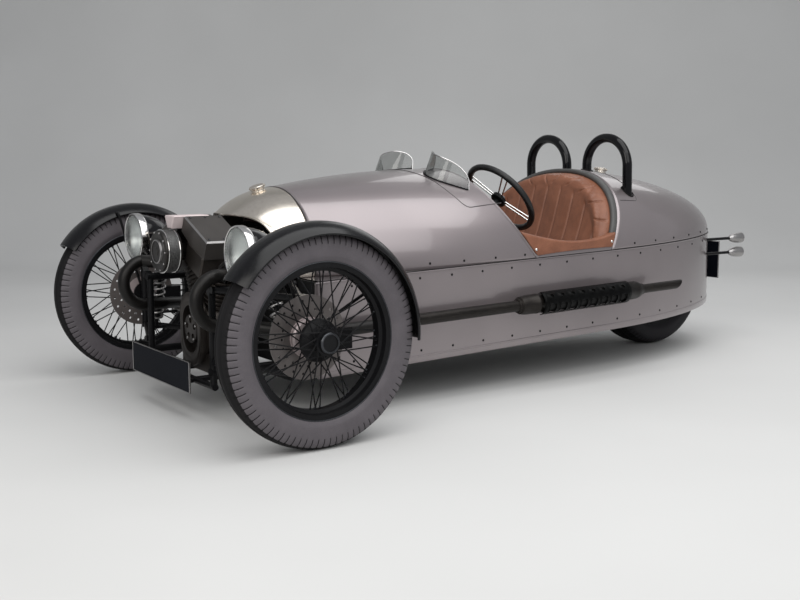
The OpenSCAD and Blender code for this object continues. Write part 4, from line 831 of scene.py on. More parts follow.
def seat_cushion():
    """Bench cushion: crowned, with sewn channels that run on from the back's."""
    back_s = seat_edge(184.6) - 92

    def inside(s, y):
        return min(CUSHION_HALF - abs(y), s - CUSHION_S, back_s - s)

    rows = []
    for s in spread(40, CUSHION_S, back_s):
        row = [station(s, y, 206 + 66 * rounded(inside(s, y) / CUSHION_ROUND))
               for y in spread(61, -CUSHION_HALF, CUSHION_HALF)]
        rows.append(row + [(x, y, 188) for x, y, _ in reversed(row)])
    piece = Piece("seat_cushion_pad").grid(rows, LEATHER, loop=True, caps=True, place=RAKED)
    made = soften(piece.make("car", ["seat_cushion"], "tan_leather", sharp=180))

    def press(p, normal):
        away = inside(PANEL_S - p.x, p.y)
        return channel_depth(p.y) * smooth_step((away - 20) / 30) if normal.z > 0.3 else 0.0

    sewn(made, press)


# Columns: distance behind the rim's edge, depth under the dome
BAND_SECTION = ((3, 2), (-10, 1), (-20, 1), (-26, 4), (-29, 9), (-29, 15), (-26, 21), (-20, 25), (-8, 26), (3, 26))
BAND_END = 80.5


def seat_band():
    """Grey edging between the seat's border and the deck."""
    columns = [[dome(rim_edge(drop_at(a)) + back, a, depth) for back, depth in BAND_SECTION]
               for a in spread(101, -BAND_END, BAND_END)]
    piece = Piece("rim_edging").grid(columns, PIPING, loop=True, caps=True, place=RAKED)
    piece.make("car", ["seat_rim"], "rim_leather", sharp=180)


# Columns: share of the pad's height, distance outside the dome, lift
PAD_SECTION = ((-0.13, 5, 0), (0, 5, 0), (0.25, 5.5, 0), (0.6, 6, 0), (0.82, 7, 0), (0.93, 8, 0), (1.0, 3, 3),
               (1.02, -8, 5), (1.0, -20, 3), (0.9, -27, 0), (0.6, -24, 0), (0.25, -22, 0), (0.02, -21, 0),
               (0.01, 0.8, 0), (-0.13, 0.8, 0))
PAD_FOOT_Z, PAD_CLEAR = 507.0, 3.0


def sill_pads():
    """Leather pads over the cut-away sides, with a rolled top and a stud at each lower corner."""
    piece, studs = Piece("sill_pad_skins"), []

    def opening(z, t, gap=0.0):
        return lerp(scuttle_edge(height_drop(z)) + gap, rim_edge(height_drop(z)) - gap, t)

    for side in (LEFT, RIGHT):
        loops = []
        for t in spread(61):
            loop = []
            for share, out, lift in PAD_SECTION:
                z = lerp(PAD_FOOT_Z, pad_top(t) - 6, share) + lift
                level = min(z, 640)
                s = opening(level, t, PAD_CLEAR)
                loop.append(station(s, side * (dome_y(s, level) + out), z))
            loops.append(loop)
        piece.grid(loops, LEATHER, loop=True, caps=True, place=RAKED)
        for t, z in ((0.04, 522), (0.96, 524)):
            s = opening(z, t)
            studs.append((RAKED @ station(s, side * (dome_y(s, z) + 5), z), turned(RAKED, (0, side, 0.2))))
    piece.make("car", ["sill_pads"], "tan_leather", sharp=60, levels=1)
    RIVETS.spread_on("sill_studs", studs, "car", BRIGHT, "bright_caps", 6.5, 4.0)


SCREEN_S, SCREEN_BOW, SCREEN_HALF, SCREEN_H, SCREEN_LEAN = 872.0, 110.0, 118.0, 85.0, 38.0


def screens():
    panes, rims = Piece("aero_screen_pair"), Piece("screen_edges")
    for side in (LEFT, RIGHT):
        rows = []
        for u in spread(22):
            row = []
            for t in spread(49, -1, 1):
                y, s = DRIVER_Y + SCREEN_HALF * t, SCREEN_S + SCREEN_BOW * t * t
                up = math.sqrt(1 - t ** 4) * u
                row.append(station(s + SCREEN_LEAN * up, side * y, dome_z(s, y) + 1 + SCREEN_H * up))
            rows.append(row)
        panes.grid(rows, SCREEN, (-740, side * DRIVER_Y, 600), place=RAKED)
        rims.tube(rows[-1], 1.6, BRIGHT, 6, place=RAKED)
        rims.tube([p + Vector((4, 0, 2)) for p in rows[0]], 3.0, SATIN_BLACK, 8, place=RAKED)
    panes.make("car", ["aero_screens"], "screen_tint", wall=4)
    rims.make("car", slot="screen_tint")


COLUMN = at(AXLE_X - 1225, DRIVER_Y, 744) @ turn(-52, "Y")
HELM_R = 161.0


def helm():
    """Steering wheel: gripped rim, four pairs of wire spokes and a boss with a plain ring."""
    piece = Piece("helm")
    piece.tube([polar(HELM_R, a) for a in circle(96)], 13, GRIP, 16, True, COLUMN)
    for arm in range(4):
        spoke = turn(45 + 90 * arm, "Z")
        for way in (-1, 1):
            path = [spoke @ Vector((lerp(26, 158, t), way * (9 + 4 * t), -9 + 7 * t)) for t in spread(8)]
            piece.tube(path, 3.4, BRIGHT, 10, False, COLUMN)
    boss = [(0, 4), (16, 4), (20, 2), (22, -2), (34, -4), (34, -19), (30, -22), (0, -22)]
    piece.lathe(boss, SATIN_BLACK, COLUMN, 48)
    piece.lathe([(21, 3.5), (25, 3.5), (26, 1), (25, -1), (21, -1)], BRIGHT, COLUMN, 48, True)
    piece.make("steering_wheel", ["steering_wheel"], "wheel_rim")


DASH_S, SWITCHES, DIAL_MARKS = 993.5, 8, 11
# Columns: place across, height, radius
DIALS = ((0, 720, 48), (-105, 712, 30), (105, 712, 30))


def dash_dials():
    piece = Piece("dash_dials")
    behind = (0, 0, -9)
    for y, z, r in DIALS:
        place = RAKED @ at(*station(DASH_S, y, z)) @ AFT
        piece.lathe([(0, 1), (r - 4, 1), (r - 4, 4), (r - 2, 6), (r, 5), (r, 0)], BRIGHT, place, 48, inside=behind)
        piece.lathe([(0, 2.2), (r - 4, 2.2)], DIAL, place, 48, inside=behind)
        for k in range(DIAL_MARKS):
            mark = place @ turn(-210 + 24 * k, "Z") @ at(r * 0.72, 0, 2.6)
            piece.block((r * 0.16, 1.6, 0.8), MATT_BLACK, mark, 0.2)
        piece.block((r * 0.7, 1.8, 1), MATT_BLACK, place @ turn(200, "Z") @ at(r * 0.28, 0, 3.4), 0.3)
    for y in spread(SWITCHES, -190, 60):
        place = RAKED @ at(*station(DASH_S, y, 636)) @ AFT
        piece.lathe([(0, 14), (3.2, 13), (4.2, 9), (2.4, 3), (6, 2), (7, 0)], BRIGHT, place, 16, inside=behind)
    piece.make("car", slot="dash_black")


HOOP_S, HOOP_HALF, HOOP_TUBE_R, HOOP_TOP_Z, HOOP_FOOT_Z, COLLAR_R = 1865.0, 124.0, 21.0, 976.0, 600.0, 25.0


def hoops():
    piece = Piece("hoop_tubes")
    bend = HOOP_TOP_Z - HOOP_TUBE_R - HOOP_HALF
    for side in (LEFT, RIGHT):
        y = side * DRIVER_Y
        path = [(-HOOP_HALF, z) for z in spread(14, HOOP_FOOT_Z, bend)[:-1]]
        path += [(-HOOP_HALF * math.cos(a), bend + HOOP_HALF * math.sin(a)) for a in spread(49, 0, math.pi)]
        path += [(HOOP_HALF, z) for z in spread(14, bend, HOOP_FOOT_Z)[1:]]
        piece.tube([station(HOOP_S, y + out, z) for out, z in path], HOOP_TUBE_R, GLOSS_BLACK, 28, place=RAKED)
        for leg in (-HOOP_HALF, HOOP_HALF):
            collar = [on_dome(HOOP_S + COLLAR_R * math.cos(a), y + leg + COLLAR_R * math.sin(a), 1.5)
                      for a in circle(32)]
            piece.tube(collar, 3.2, MATT_BLACK, 8, True, RAKED)
    piece.make("car", ["roll_hoops"], "gloss_black")


# Engine, filter and exhausts
ENGINE_X, CRANK_Z, FILTER_Z, VEE = AXLE_X + 20, 288.0, 578.0, 24.0
ROTOR_BOLTS, ROTOR_BOLT_R = 5, 45.0
# Columns: radius, half distance of the centres, place forward
COVER_LOOPS = ((88, 48, 44), (89, 48, 66), (87, 48, 71), (82, 48, 73), (74, 40, 73), (67, 28, 71), (64.5, 25, 66),
               (64, 24, 43))


def oval_ring(r, half_h, x, steps=24):
    """An upright oval in a plane across the car, from its radius and the half distance of its centres."""
    arc = [(x, r * math.cos(a), half_h + r * math.sin(a)) for a in spread(steps, 0, math.pi)]
    return arc + [(x, -y, -z) for _, y, z in arc]


def crank_cover():
    piece = Piece("crank_cover")
    place = at(ENGINE_X, 0, CRANK_Z)
    piece.grid([oval_ring(*loop) for loop in COVER_LOOPS], ENGINE, (55, 0, 95), loop=True, place=place)
    front = place @ at(42, 0, 0) @ FORWARD
    rotor = [(52, 0), (53, 24), (50, 28), (40, 28), (38, 22), (18, 22), (17, 27), (0, 29)]
    piece.lathe(rotor, ENGINE, front, 64, inside=(0, 0, 5))
    piece.make("car", slot="engine_metal")
    heads = [(front @ Vector(polar(ROTOR_BOLT_R, a, 29)), (1, 0, 0)) for a in circle(ROTOR_BOLTS, 0.5)]
    BOLTS.spread_on("cover_bolts", heads, "car", SATIN_METAL, "engine_metal", 5.5, 5.0)


FINS, FIN_PITCH, FIN_START, BARREL_R = 8, 16.25, 117.0, 60.0


def cylinder_pair():
    """Finned barrels, smooth heads and wide angular rocker boxes, whose bevelled top edges take a lighter metal as a
    painted highlight.
    """
    piece, heads = Piece("cylinder_pair"), []
    for side in (LEFT, RIGHT):
        stand = at(ENGINE_X - 30, 0, CRANK_Z) @ turn(-VEE * side, "X")
        profile = [(BARREL_R, 104)]
        for k in range(FINS):
            h = FIN_START + k * FIN_PITCH
            profile += [(BARREL_R, h), (71, h + 0.8), (72, h + 2.5), (71, h + 4.2), (BARREL_R, h + 5)]
        piece.lathe(profile + [(BARREL_R, 247)], ENGINE, stand, 64, inside=(0, 0, 180))
        piece.block((196, 137, 85), ENGINE, stand @ at(37, 0, 288), 5)

        def ring(low, high, inset, z):
            x0, x1 = -13 + inset, 133 - inset
            return [(x0, side * low, z), (x1, side * low, z), (x1, side * high, z), (x0, side * high, z)]

        box = [ring(-69, 74, 0, 328), ring(-130, 74, 0, 337), ring(-130, 74, 0, 393), ring(-125, 69, 5, 398.5)]
        middle = (60, -20 * side, 360)
        piece.grid(box[:3], ROCKER, middle, loop=True, place=stand)
        # Painted highlight: the bevel round each rocker box's top takes the lighter satin metal.
        piece.grid(box[2:], SATIN_METAL, middle, loop=True, place=stand)
        piece.grid([box[3][:2], box[3][:1:-1]], ROCKER, middle, place=stand)
        heads += [(stand @ Vector((x, side * y, 399)), turned(stand, (0, 0, 1)))
                  for x in (4, 60, 116) for y in (-112, 56)]
    piece.make("car", ["cylinders"], "engine_metal", sharp=30)
    BOLTS.spread_on("rocker_bolts", heads, "car", DARK_METAL, "engine_metal", 4.5, 4.0)


FILTER_BOLTS, FILTER_BOLT_R = 10, 69.0


def filter_and_plenum():
    piece = Piece("air_filter_drum")
    place = at(AXLE_X + 216, 0, FILTER_Z) @ AFT
    turnings = [(FILTER_CASE, 80, 40, [(0, 1), (14, 1), (16, 3), (38, 3), (39, 0.5)]),
                (SATIN_METAL, 80, 40, [(39, 0.5), (41, 0), (43, 1.5), (44, 8)]),
                (FILTER_CASE, 80, 40, [(44, 8), (60, 8), (64, 6), (70, 6), (75, 10), (76, 14), (76, 18)])]
    turnings += [(BRIGHT, 80, h + 2, [(75, h), (78.5, h + 0.5), (79.5, h + 2), (78.5, h + 4), (75, h + 4.5)])
                 for h in (18, 60)]
    turnings += [(GAUZE, 96, 44, [(77, 22), (77, 60)]),
                 (FILTER_CASE, 64, 90, [(75, 64), (74, 72), (60, 76), (28, 78), (26, 100), (26, 174), (0, 174)])]
    for finish, steps, middle, profile in turnings:
        piece.lathe(profile, finish, place, steps, inside=(0, 0, middle))
    spout = at(AXLE_X + 44, 0, FILTER_Z)
    for start, end, r, sides in (((0, -43, 0), (0, 43, 0), 22, 32), ((0, 0, 0), (0, 0, 48), 22, 32),
                                 ((0, 0, 46), (0, 0, 84), 9, 20)):
        piece.tube([start, end], r, ENGINE, sides, place=spout)
    wedge = []
    for x, inset in ((22, 3), (25, 0), (159, 0), (162, 3)):
        low, high, foot, top = 18.8 - inset, 39.3 - inset, 659 + inset, 705 - inset
        shoulder = 702 - inset / 2
        wedge.append([(x, -low, foot), (x, low, foot), (x, high, shoulder), (x, high - 3, top), (x, 3 - high, top),
                      (x, -high, shoulder)])
    piece.grid(wedge, PLENUM, (90, 0, 685), loop=True, caps=True, place=at(AXLE_X, 0, 0))
    piece.make("car", ["air_filter"], "filter_metal", sharp=30)
    heads = [(place @ Vector(polar(FILTER_BOLT_R, a, 6)), (1, 0, 0)) for a in circle(FILTER_BOLTS, 0.5)]
    BOLTS.spread_on("filter_bolts", heads, "car", SATIN_METAL, "filter_metal", 3.4, 4.0)


EXHAUST_Y, EXHAUST_Z, PORT_D = 510.0, 318.0, 288.0
LOOP_X, LOOP_Y, LOOP_Z, LOOP_R = AXLE_X + 128, 330.0, 430.0, 86.0
TAIL_PIPE_R, TAIL_PIPE_BORE, TAIL_PIPE_END, TAIL_PIPE_CUT = 19.0, 16.0, 1560.0, 18.0
# Columns: radius, distance behind the pipe's joint
SILENCER = ((22, 0), (22, 652), (26, 654), (28, 656), (28, 662), (34, 666), (38, 690), (38, 742), (39.5, 744),
            (39.5, 752), (38, 754), (38, 1240), (39.5, 1242), (39.5, 1250), (38, 1252), (38, 1300), (34, 1322),
            (26, 1334), (24, 1350), (TAIL_PIPE_R, 1352), (TAIL_PIPE_R, TAIL_PIPE_END))


def exhausts():
    lean = math.radians(VEE)
    c, n = math.cos(lean), math.sin(lean)
    for side, name in SIDES:
        piece = Piece(f"exhaust_pipe_{name}")

        def port(out):
            return Vector((ENGINE_X + 7, side * (PORT_D * n + out * c), CRANK_Z + PORT_D * c - out * n))

        def along_side(s):
            return station(s, side * EXHAUST_Y, EXHAUST_Z)

        loop = [Vector((LOOP_X + LOOP_R * math.sin(a), side * LOOP_Y, LOOP_Z + LOOP_R * math.cos(a)))
                for a in spread(33, 0.12, math.pi - 0.12)]
        back = [loop[-1], (LOOP_X - 60, side * LOOP_Y, LOOP_Z - LOOP_R), RAKED @ along_side(130),
                RAKED @ along_side(400)]
        path = bent([port(69), port(110), loop[0]], 45)[:-1] + loop + bent(back, 70)[1:]
        piece.tube(path, 23, HEADER, 24)
        ring = RAKED @ at(*along_side(398)) @ AFT
        piece.lathe(SILENCER, PIPE, ring, 40, inside=(0, 0, 900))
        slant = [TAIL_PIPE_END + TAIL_PIPE_CUT * (1 + math.cos(a)) for a in circle(40)]
        inner = [TAIL_PIPE_END - 120] * 40
        root = [TAIL_PIPE_END - 2] * 40
        tip = ((TAIL_PIPE_R, root), (TAIL_PIPE_R, slant), (TAIL_PIPE_R, [h + 1 for h in slant]),
               (TAIL_PIPE_BORE, [h + 1 for h in slant]), (TAIL_PIPE_BORE, inner))
        rows = [[polar(r, a, h) for a, h in zip(circle(40), heights)] for r, heights in tip]
        piece.grid(rows, PIPE, loop=True, place=ring, inside=(0, 0, 1500))
        flange = Matrix.Translation(port(70)) @ facing((0, side * c, -n))
        piece.lathe([(24, 0), (34, 0), (34, 7), (24, 7)], SATIN_METAL, flange, 32, True)
        for share in (0.3, 0.95):
            s = lerp(130, 1745, share)
            reach = EXHAUST_Y - flank_half(s)
            hanger = RAKED @ at(*station(s - 12, side * (EXHAUST_Y - reach / 2), EXHAUST_Z))
            piece.block((24, reach, 8), SATIN_BLACK, hanger, 1.5)
        piece.make("car", [f"exhaust_{name}"], "pipe_metal")


SHIELD_R, SHIELD_L, SHIELD_S, SHIELD_END, SHIELD_HALF, SHIELD_WALL = 47.5, 480.0, 1160.0, 14.0, 75.0, 2.4
SHIELD_WINDOWS = 8
# Columns: lower and upper edge in degrees, half length, half height in degrees, power of the corners, raised lip
SHIELD_ROWS = ((-62.0, 14.0, 17.0, 24.0, 4.0, 2.2), (14.0, 60.0, 8.5, 9.5, 2.0, 0.8))


def shields():
    """Black half shells over the silencers, with a row of windows and a row of small holes above it."""
    piece, clips = Piece("silencer_shields"), Piece("shield_clips")
    far = SHIELD_L - SHIELD_END
    pitch = (far - SHIELD_END) / SHIELD_WINDOWS
    unit = spread(7)
    steps = unit[:-1]
    border = [(t, 0.0) for t in steps] + [(1.0, t) for t in steps]
    border += [(1 - t, 1.0) for t in steps] + [(0.0, 1 - t) for t in steps]
    up = [-SHIELD_HALF, SHIELD_ROWS[0][0]]
    up += [lerp(low, high, t) for low, high, *_ in SHIELD_ROWS for t in unit[1:]] + [SHIELD_HALF]
    across = [SHIELD_END + pitch * (k + t) for k in range(SHIELD_WINDOWS) for t in steps] + [far]
    for side in (LEFT, RIGHT):
        place = RAKED @ at(*station(SHIELD_S, side * EXHAUST_Y, EXHAUST_Z))

        def on_shell(x, angle, r=SHIELD_R):
            a = math.radians(angle)
            return place @ Vector((-x, side * r * math.cos(a), r * math.sin(a)))

        def sheet(xs, angles):
            piece.grid([[on_shell(x, a) for a in angles] for x in xs], SHIELD, on_shell(SHIELD_L / 2, 0, 0))

        def band(x0, x1, r0, r1, angles, finish):
            corners = ((x0, r0), (x1, r0), (x1, r1), (x0, r1))
            clips.grid([[on_shell(x, a, r) for x, r in corners] for a in angles], finish, loop=True, caps=True)

        for low, high, half_l, half_a, power, lip in SHIELD_ROWS:
            middle = (low + high) / 2
            for k in range(SHIELD_WINDOWS):
                x = SHIELD_END + pitch * k
                loops = [[on_shell(x + pitch * u, lerp(low, high, v)) for u, v in border]]
                for grow, r in ((1.16, SHIELD_R), (1.06, SHIELD_R + lip), (1.0, SHIELD_R + lip * 0.6)):
                    ways = [math.atan2(v - 0.5, u - 0.5) for u, v in border]
                    loops.append([on_shell(x + pitch / 2 + half_l * grow * power_of(math.cos(a), power),
                                           middle + half_a * grow * power_of(math.sin(a), power), r) for a in ways])
                piece.grid(loops, SHIELD, on_shell(x + pitch / 2, middle, 0), loop=True)
        sheet(across, up[:2])
        sheet(across, up[-2:])
        sheet((0, SHIELD_END), up)
        sheet((far, SHIELD_L), up)
        for start in (SHIELD_END, far - SHIELD_END):
            for low in (-72, 36):
                band(start, start + 14, 39.6, 44.5, spread(4, low, low + 36), SHIELD)
        band(SHIELD_END, far, 38.2, 39.4, spread(25, -110, 110), CARPET)
    clips.make("car", slot="shield_black")
    piece.make("car", ["heat_shields"], "shield_black", wall=SHIELD_WALL, sharp=50)


# Lamps and plates
LAMP_Y, GLASS_R = 455.0, 88.5


def headlamps():
    shells, glass = Piece("headlamp_shells"), Piece("headlamp_glass")
    bezel = [(88, 6), (89, 0), (91.5, -1.5), (94, 0), (95, 4), (95, 24), (93, 28), (90, 28)]
    bowl = [(90, 27), (88, 40), (84, 60), (73, 92), (58, 115), (38, 131), (16, 140), (0, 142)]
    mirror = [(89, 12), (81, 34), (64, 56), (41, 70), (18, 77), (0, 79)]
    bulge = [(GLASS_R * math.sin(a), 6 - 18 * math.cos(a)) for a in spread(13, 0, math.pi / 2)[1:]]
    lens = [(0, -12)] + bulge + [(GLASS_R, 10), (62, 3), (30, -4), (0, -7)]
    for side in (LEFT, RIGHT):
        place = at(AXLE_X + 122, side * LAMP_Y, 597) @ AFT
        shells.lathe(bezel, BRIGHT, place, 72, inside=(0, 0, 60))
        shells.lathe(bowl, GLOSS_BLACK, place, 72, inside=(0, 0, 60))
        shells.lathe(mirror, LAMP_BOWL, place, 64, inside=(0, 0, -200))
        stalk = [(AXLE_X, side * 470, 516), (AXLE_X + 4, side * 467, 535), (AXLE_X + 25, side * LAMP_Y, 560)]
        shells.tube(bent(stalk, 20), 11, GLOSS_BLACK, 20)
        glass.lathe(lens, LENS, place, 72, inside=(0, 0, 0))
    shells.make("car", ["headlamps"], "gloss_black")
    glass.make("car", ["headlamp_lenses"], "lamp_glass")


TAIL_LAMP_Y, TAIL_LAMP_ZS = 200.0, (512, 442)


def tail_lamps():
    shells, glass = Piece("tail_lamp_shells"), Piece("tail_lamp_glass")
    shell = [(20, 5), (23, 1), (26, 3), (26, 12), (25.4, 30), (23, 52), (18, 72), (10, 88), (0, 96)]
    lens = [(0, 0.5), (10, 1), (18, 3), (22, 6), (22, 12), (0, 12)]
    for y in (TAIL_LAMP_Y, -TAIL_LAMP_Y):
        for z in TAIL_LAMP_ZS:
            place = at(AXLE_X - 2790, y, z) @ FORWARD
            # Painted reflection: the chrome bullet shells take the darker satin metal, so they show the dark look of a
            # dark room.
            shells.lathe(shell, SATIN_METAL, place, 40, inside=(0, 0, 40))
            glass.lathe(lens, RED, place, 40, inside=(0, 0, 8))
            shells.tube([(AXLE_X - 2735, y, z), (AXLE_X - 2520, y, z)], 7, SATIN_BLACK, 14)
    shells.make("car", ["tail_lamps"], "tail_red")
    glass.make("car", slot="tail_red")


# Columns: centre, width, height
PLATES = (((AXLE_X + 211.5, 0, 162.5), 520, 111), ((AXLE_X - 2747.5, 0, 395), 210, 186))


def plate_frames():
    piece = Piece("plate_frames")
    for centre, w, h in PLATES:
        for way in (-1, 1):
            piece.block((7, w, 3), SATIN_METAL, at(*centre) @ at(0, 0, way * (h / 2 - 1.5)), 1)
            piece.block((7, 3, h), SATIN_METAL, at(*centre) @ at(0, way * (w / 2 - 1.5), 0), 1)
    piece.make("car", slot="plate_black")


# Wheels, tyres, wings and brakes
def on_wheel(side, y=WHEEL_Y):
    return at(AXLE_X, side * y, FRONT_R) @ turn(-90 * side, "X")


ON_REAR = at(REAR_AXLE_X, 0, REAR_R) @ turn(-90, "X")
TICK_STEPS, TICK_DEPTH, GROOVE_DEPTH, BEAD_SET = 8, 2.4, 4.0, 12.7


def tyre(name, body, node, place, outer, flange, width, rim_w, ticks, tick_share, wall):
    """Carcass with dark ticks cut into its shoulders and grooves round its tread."""
    inner = flange - BEAD_SET
    mid, half = (outer + inner) / 2, (outer - inner) / 2
    section = [(mid + half * power_of(math.sin(r), 3), width / 2 * power_of(math.cos(r), 2.6))
               for r in map(math.radians, spread(45, -20, 200))]
    foot = [(flange + 0.5, rim_w / 2), (flange + 0.5, rim_w / 2 - 7), (inner, rim_w / 2 - 9)]
    section += [(r, -y) for r, y in foot] + foot[::-1]
    height = [(r - mid) / half for r, _ in section]
    shoulder = [tick_share[0] < h < tick_share[1] and abs(y) > width * 0.27 for h, (_, y) in zip(height, section)]
    columns, count = len(section), ticks * TICK_STEPS
    points = []
    for k, a in enumerate(circle(count)):
        for j, (r, y) in enumerate(section):
            grooved = height[j] > 0.9 and abs(abs(y) - width * 0.16) < width * 0.03
            cut = TICK_DEPTH if shoulder[j] and k % TICK_STEPS < 2 else 0.0
            reach = r - max(GROOVE_DEPTH if grooved else 0.0, cut)
            points.append(place @ Vector(polar(reach, a, y - math.copysign(cut / 2, y))))
    faces = {wall: [], TREAD: []}
    for i in range(count):
        n = (i + 1) % count
        for j in range(columns):
            m = (j + 1) % columns
            tick = shoulder[j] and shoulder[m] and i % TICK_STEPS == 0
            dark = tick or min(height[j], height[m]) > 0.75
            faces[TREAD if dark else wall].append(
                (i * columns + j, i * columns + m, n * columns + m, n * columns + j))
    piece = Piece(name)
    for finish, share in faces.items():
        piece.add(points, share, finish, place.translation)
    piece.make(body, [node], "tyre_rubber", sharp=50)


def tyres():
    for side, name in SIDES:
        tyre(f"tyre_{name}", f"front_wheel_{name}", f"front_tyre_{name}", on_wheel(side),
             FRONT_R, 251, 105, 80, 90, (0.22, 0.90), SIDEWALL)
    # The rear tyre's walls carry painted shade.
    tyre("tyre_rear", "rear_wheel", "rear_tyre", ON_REAR, REAR_R, 216, 190, 165, 80, (0.5, 0.95), REAR_WALL_SHADED)


RIM_LIP_R, RIM_LIP_Z, NIPPLE_R, SPOKES_PER_SET, SPOKE_LEAD = 249.5, 39.5, 217.0, 12, 50.0
# Columns: plane as a share of the half width, way of the lead, phase
SPOKE_SETS = ((0.24, 1, 0), (0.1, -1, 0.5), (-0.1, 1, 0.25), (-0.24, -1, 0.75))


def wheel_details():
    for side, name in SIDES:
        place, body = on_wheel(side), f"front_wheel_{name}"
        hub = Piece(f"hub_and_rim_trim_{name}")
        hub.lathe([(27, 77), (31, 77), (33.6, 74), (33.6, 66), (27, 66)], DARK_METAL, place, 56, True)
        for z in (RIM_LIP_Z, -RIM_LIP_Z):
            hub.tube([polar(RIM_LIP_R, a, z) for a in circle(128)], 2.2, DARK_METAL, 8, True, place)
        hub.make(body, slot="spoke_black")
        spots = []
        for plane, way, phase in SPOKE_SETS:
            for a in circle(SPOKES_PER_SET, phase):
                a += math.radians(way * SPOKE_LEAD)
                spots.append((place @ Vector(polar(NIPPLE_R, a, plane * 40)), turned(place, polar(-1, a, plane))))
        BOLTS.spread_on(f"spoke_nipples_{name}", spots, body, DARK_METAL, "spoke_black", 3.0, 10.0)


WING_R, WING_FALL, WING_HALF, WING_POWER, WING_ARC = 374.0, 36.0, 75.0, 2.6, (34, 184)
STAY_Y, STAY_R, STAY_ANGLES = KINGPIN_Y + 16.3, 5.5, (74, 152)


def wings():
    for side, name in SIDES:
        piece = Piece(f"wing_skin_{name}")
        place, flange = on_wheel(side), on_wheel(side, STAY_Y)
        outline = [(WING_R - WING_FALL * abs(t) ** WING_POWER, t * WING_HALF) for t in spread(33, -1, 1)]
        under = [(WING_R - 4 - (WING_FALL - 3) * abs(t) ** WING_POWER, t * (WING_HALF - 4)) for t in spread(33, 1, -1)]
        bead = [(WING_R - WING_FALL - 1 - 4.2 * math.sin(b), WING_HALF - 2 + 4.4 * math.cos(b))
                for b in spread(9, -0.5, math.pi)]
        profile = outline + bead + under + [(r, -z) for r, z in reversed(bead)]
        loops = [[polar(r, -side * math.radians(a), z) for r, z in profile] for a in spread(97, *WING_ARC)]
        piece.grid(loops, WING_BLACK, loop=True, caps=True, place=place)
        y = side * (STAY_Y + STAY_R)
        for a in map(math.radians, STAY_ANGLES):
            inner, outer = (at(AXLE_X, y, FRONT_R) @ Vector((r * math.cos(a), 0, r * math.sin(a))) for r in (28, 351))
            end = (outer.x, side * (WHEEL_Y - 62), outer.z)
            piece.tube(bent([inner, outer, end], 14), STAY_R, SATIN_BLACK, 12)
        piece.lathe([(15, 0), (40, 0), (40, 6), (15, 6)], SATIN_BLACK, flange, 40, True)
        piece.make(f"knuckle_{name}", [f"wing_{name}"], "gloss_black")


COIL_R, COIL_TURNS, SEAT_RING_R = 22.0, 7, 27.0
# Columns: radius, share of the damper's length
DAMPER_SHARES = ((0, 0), (10, 0), (10, 0.12), (17, 0.14), (17, 0.5), (9, 0.52), (9, 1), (0, 1))


def springs():
    """Coil springs and damper bodies at the front and at the rear arm."""
    piece = Piece("coil_dampers")
    for side in (LEFT, RIGHT):
        for foot, top in (((AXLE_X, side * 552, 224), (AXLE_X, side * 474.5, 485.5)),
                          ((REAR_AXLE_X + 205, side * 150, 330), (-724.5, side * 150, 590))):
            way = Vector(top) - Vector(foot)
            length = way.length
            stand = at(*foot) @ facing(way)
            piece.lathe([(r, length * share) for r, share in DAMPER_SHARES], SATIN_BLACK, stand, 24,
                        inside=(0, 0, length / 2))
            for h in (length * 0.15, length * 0.86):
                piece.lathe([(9, h - 3), (SEAT_RING_R, h - 3), (SEAT_RING_R, h + 3), (9, h + 3)],
                            SATIN_METAL, stand, 32, True)
            coil = [polar(COIL_R, 2 * math.pi * t * COIL_TURNS, length * lerp(0.17, 0.84, t))
                    for t in spread(COIL_TURNS * 20)]
            piece.tube(coil, 4.2, SATIN_METAL, 8, place=stand)
    piece.make("car", ["dampers"], "spring_metal")


def carried_over():
    """Finishes for the solids that stay in view."""
    finishes = (
        (SATIN_BLACK, ("chassis_frame", "steering_column", "wishbones", "swing_arm", "knuckle_left", "knuckle_right",
                       "front_wheel_left", "front_wheel_right", "rear_wheel")),
        (MATT_BLACK, ("radiator", "dashboard")), (CARPET, ("floor_pan",)), (ENGINE, ("crankcase",)),
        (PLATE, ("number_plates",)), (SATIN_METAL, ("rack_housing", "steering_rack")),
        (DISC, ("brake_disc_left", "brake_disc_right")))
    for finish, names in finishes:
        for name in names:
            mesh = nodes[name].data
            mesh.materials.clear()
            mesh.materials.append(finish)


# Studio, in metres: pale floor, soft lamps and the photo's camera
SIGHT = Vector((-0.5675, -0.8126, -0.1328))
CAMERA = (2.9115, 3.632, 0.916)
FLOOR_FRONT, FLOOR_NEAR, FLOOR_BACK, FLOOR_HALF, SWEEP_R, WALL_TOP = 9.0, 4.0, -4.0, 16.0, 3.0, 9.0
# Columns: name, place, aim, width and height, watts, colour
LAMPS = (("overhead_softbox", (0.2, 1.8, 4.6), (0, 0, 0.4), (6.0, 4.0), 180, (1, 1, 1)),
         ("side_softbox", (0.9, 4.6, 3.0), (0.2, 0.2, 0.6), (5.0, 2.8), 76, (1, 1, 1)),
         ("front_softbox", (4.6, 2.2, 2.4), (0.8, 0, 0.5), (2.6, 2.6), 60, (1, 0.97, 0.93)),
         ("rear_softbox", (-3.8, -2.6, 3.8), (-0.5, 0, 0.6), (3.4, 2.6), 30, (1, 1, 1)))


def aimed(made, place, way):
    made.location = place
    made.rotation_mode = "QUATERNION"
    made.rotation_quaternion = way.to_track_quat("-Z", "Y")


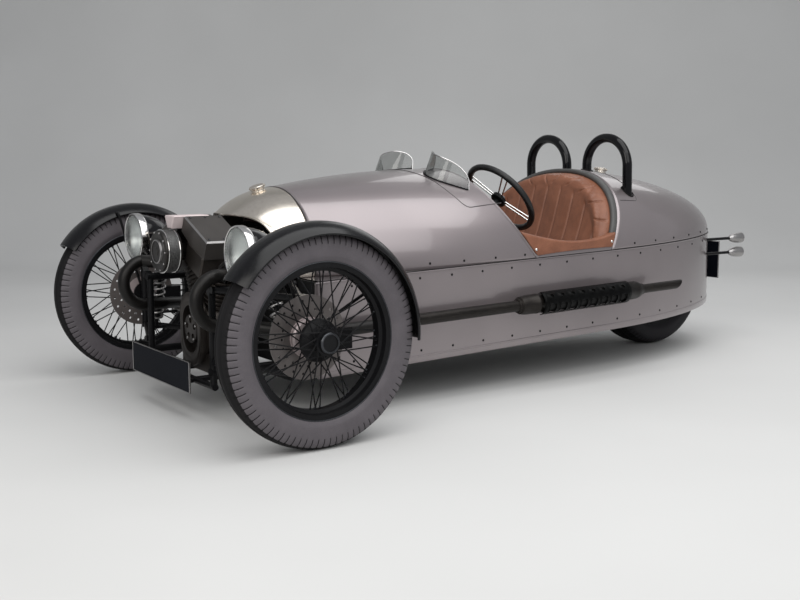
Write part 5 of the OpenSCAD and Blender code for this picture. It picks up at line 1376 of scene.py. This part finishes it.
def studio():
    scene = bpy.context.scene
    pale = Finish("studio_floor", Specular_IOR_Level=0.2)
    pale.shade(Base_Color=pale.ramp(pale.noise(0.6, 3), (0.35, (0.60, 0.60, 0.59)), (0.7, (0.64, 0.64, 0.63))),
               Roughness=0.75 + pale.noise(3, 2) * 0.1)
    sweep = [(FLOOR_BACK - SWEEP_R * math.sin(a), SWEEP_R - SWEEP_R * math.cos(a)) for a in spread(25, 0, math.pi / 2)]
    line = [(FLOOR_FRONT, 0.0), (FLOOR_NEAR, 0.0)] + sweep + [(FLOOR_BACK - SWEEP_R, WALL_TOP)]
    ahead = Matrix.Rotation(math.atan2(SIGHT.y, SIGHT.x) + math.pi, 4, "Z")
    mesh = bpy.data.meshes.new("studio_floor")
    mesh.from_pydata([ahead @ Vector((d, w, z)) for d, z in line for w in (-FLOOR_HALF, FLOOR_HALF)], [],
                     [(k, k + 2, k + 3, k + 1) for k in range(0, 2 * len(line) - 2, 2)])
    mesh.shade_smooth()
    mesh.materials.append(pale.material)
    new_object("studio_floor", mesh)

    scene.world = bpy.data.worlds.new("studio")
    scene.world.use_nodes = True
    sky = scene.world.node_tree.nodes["Background"].inputs
    sky["Color"].default_value, sky["Strength"].default_value = (0.86, 0.88, 0.92, 1), 0.42

    for name, place, aim, size, watts, colour in LAMPS:
        data = bpy.data.lights.new(name, "AREA")
        data.shape, data.size, data.size_y, data.energy, data.color = "RECTANGLE", *size, watts, colour
        aimed(new_object(name, data), place, Vector(aim) - Vector(place))

    data = bpy.data.cameras.new("photo_camera")
    data.lens, data.sensor_width, data.sensor_fit = 48.34, 36, "HORIZONTAL"
    data.clip_start, data.clip_end = 0.05, 100
    scene.camera = new_object("photo_camera", data)
    aimed(scene.camera, CAMERA, SIGHT)
    scene.view_settings.view_transform = "Standard"


for build in (carried_over, scuttle_and_bonnet, tail_deck, lower_panels, body_rivets, raised_panels, nose, caps,
              sill_strip_skins, seat_back, seat_cushion, seat_band, sill_pads, screens, helm, dash_dials, hoops,
              crank_cover, cylinder_pair, filter_and_plenum, exhausts, shields, headlamps, tail_lamps, plate_frames,
              tyres, wheel_details, wings, springs, studio):
    build()
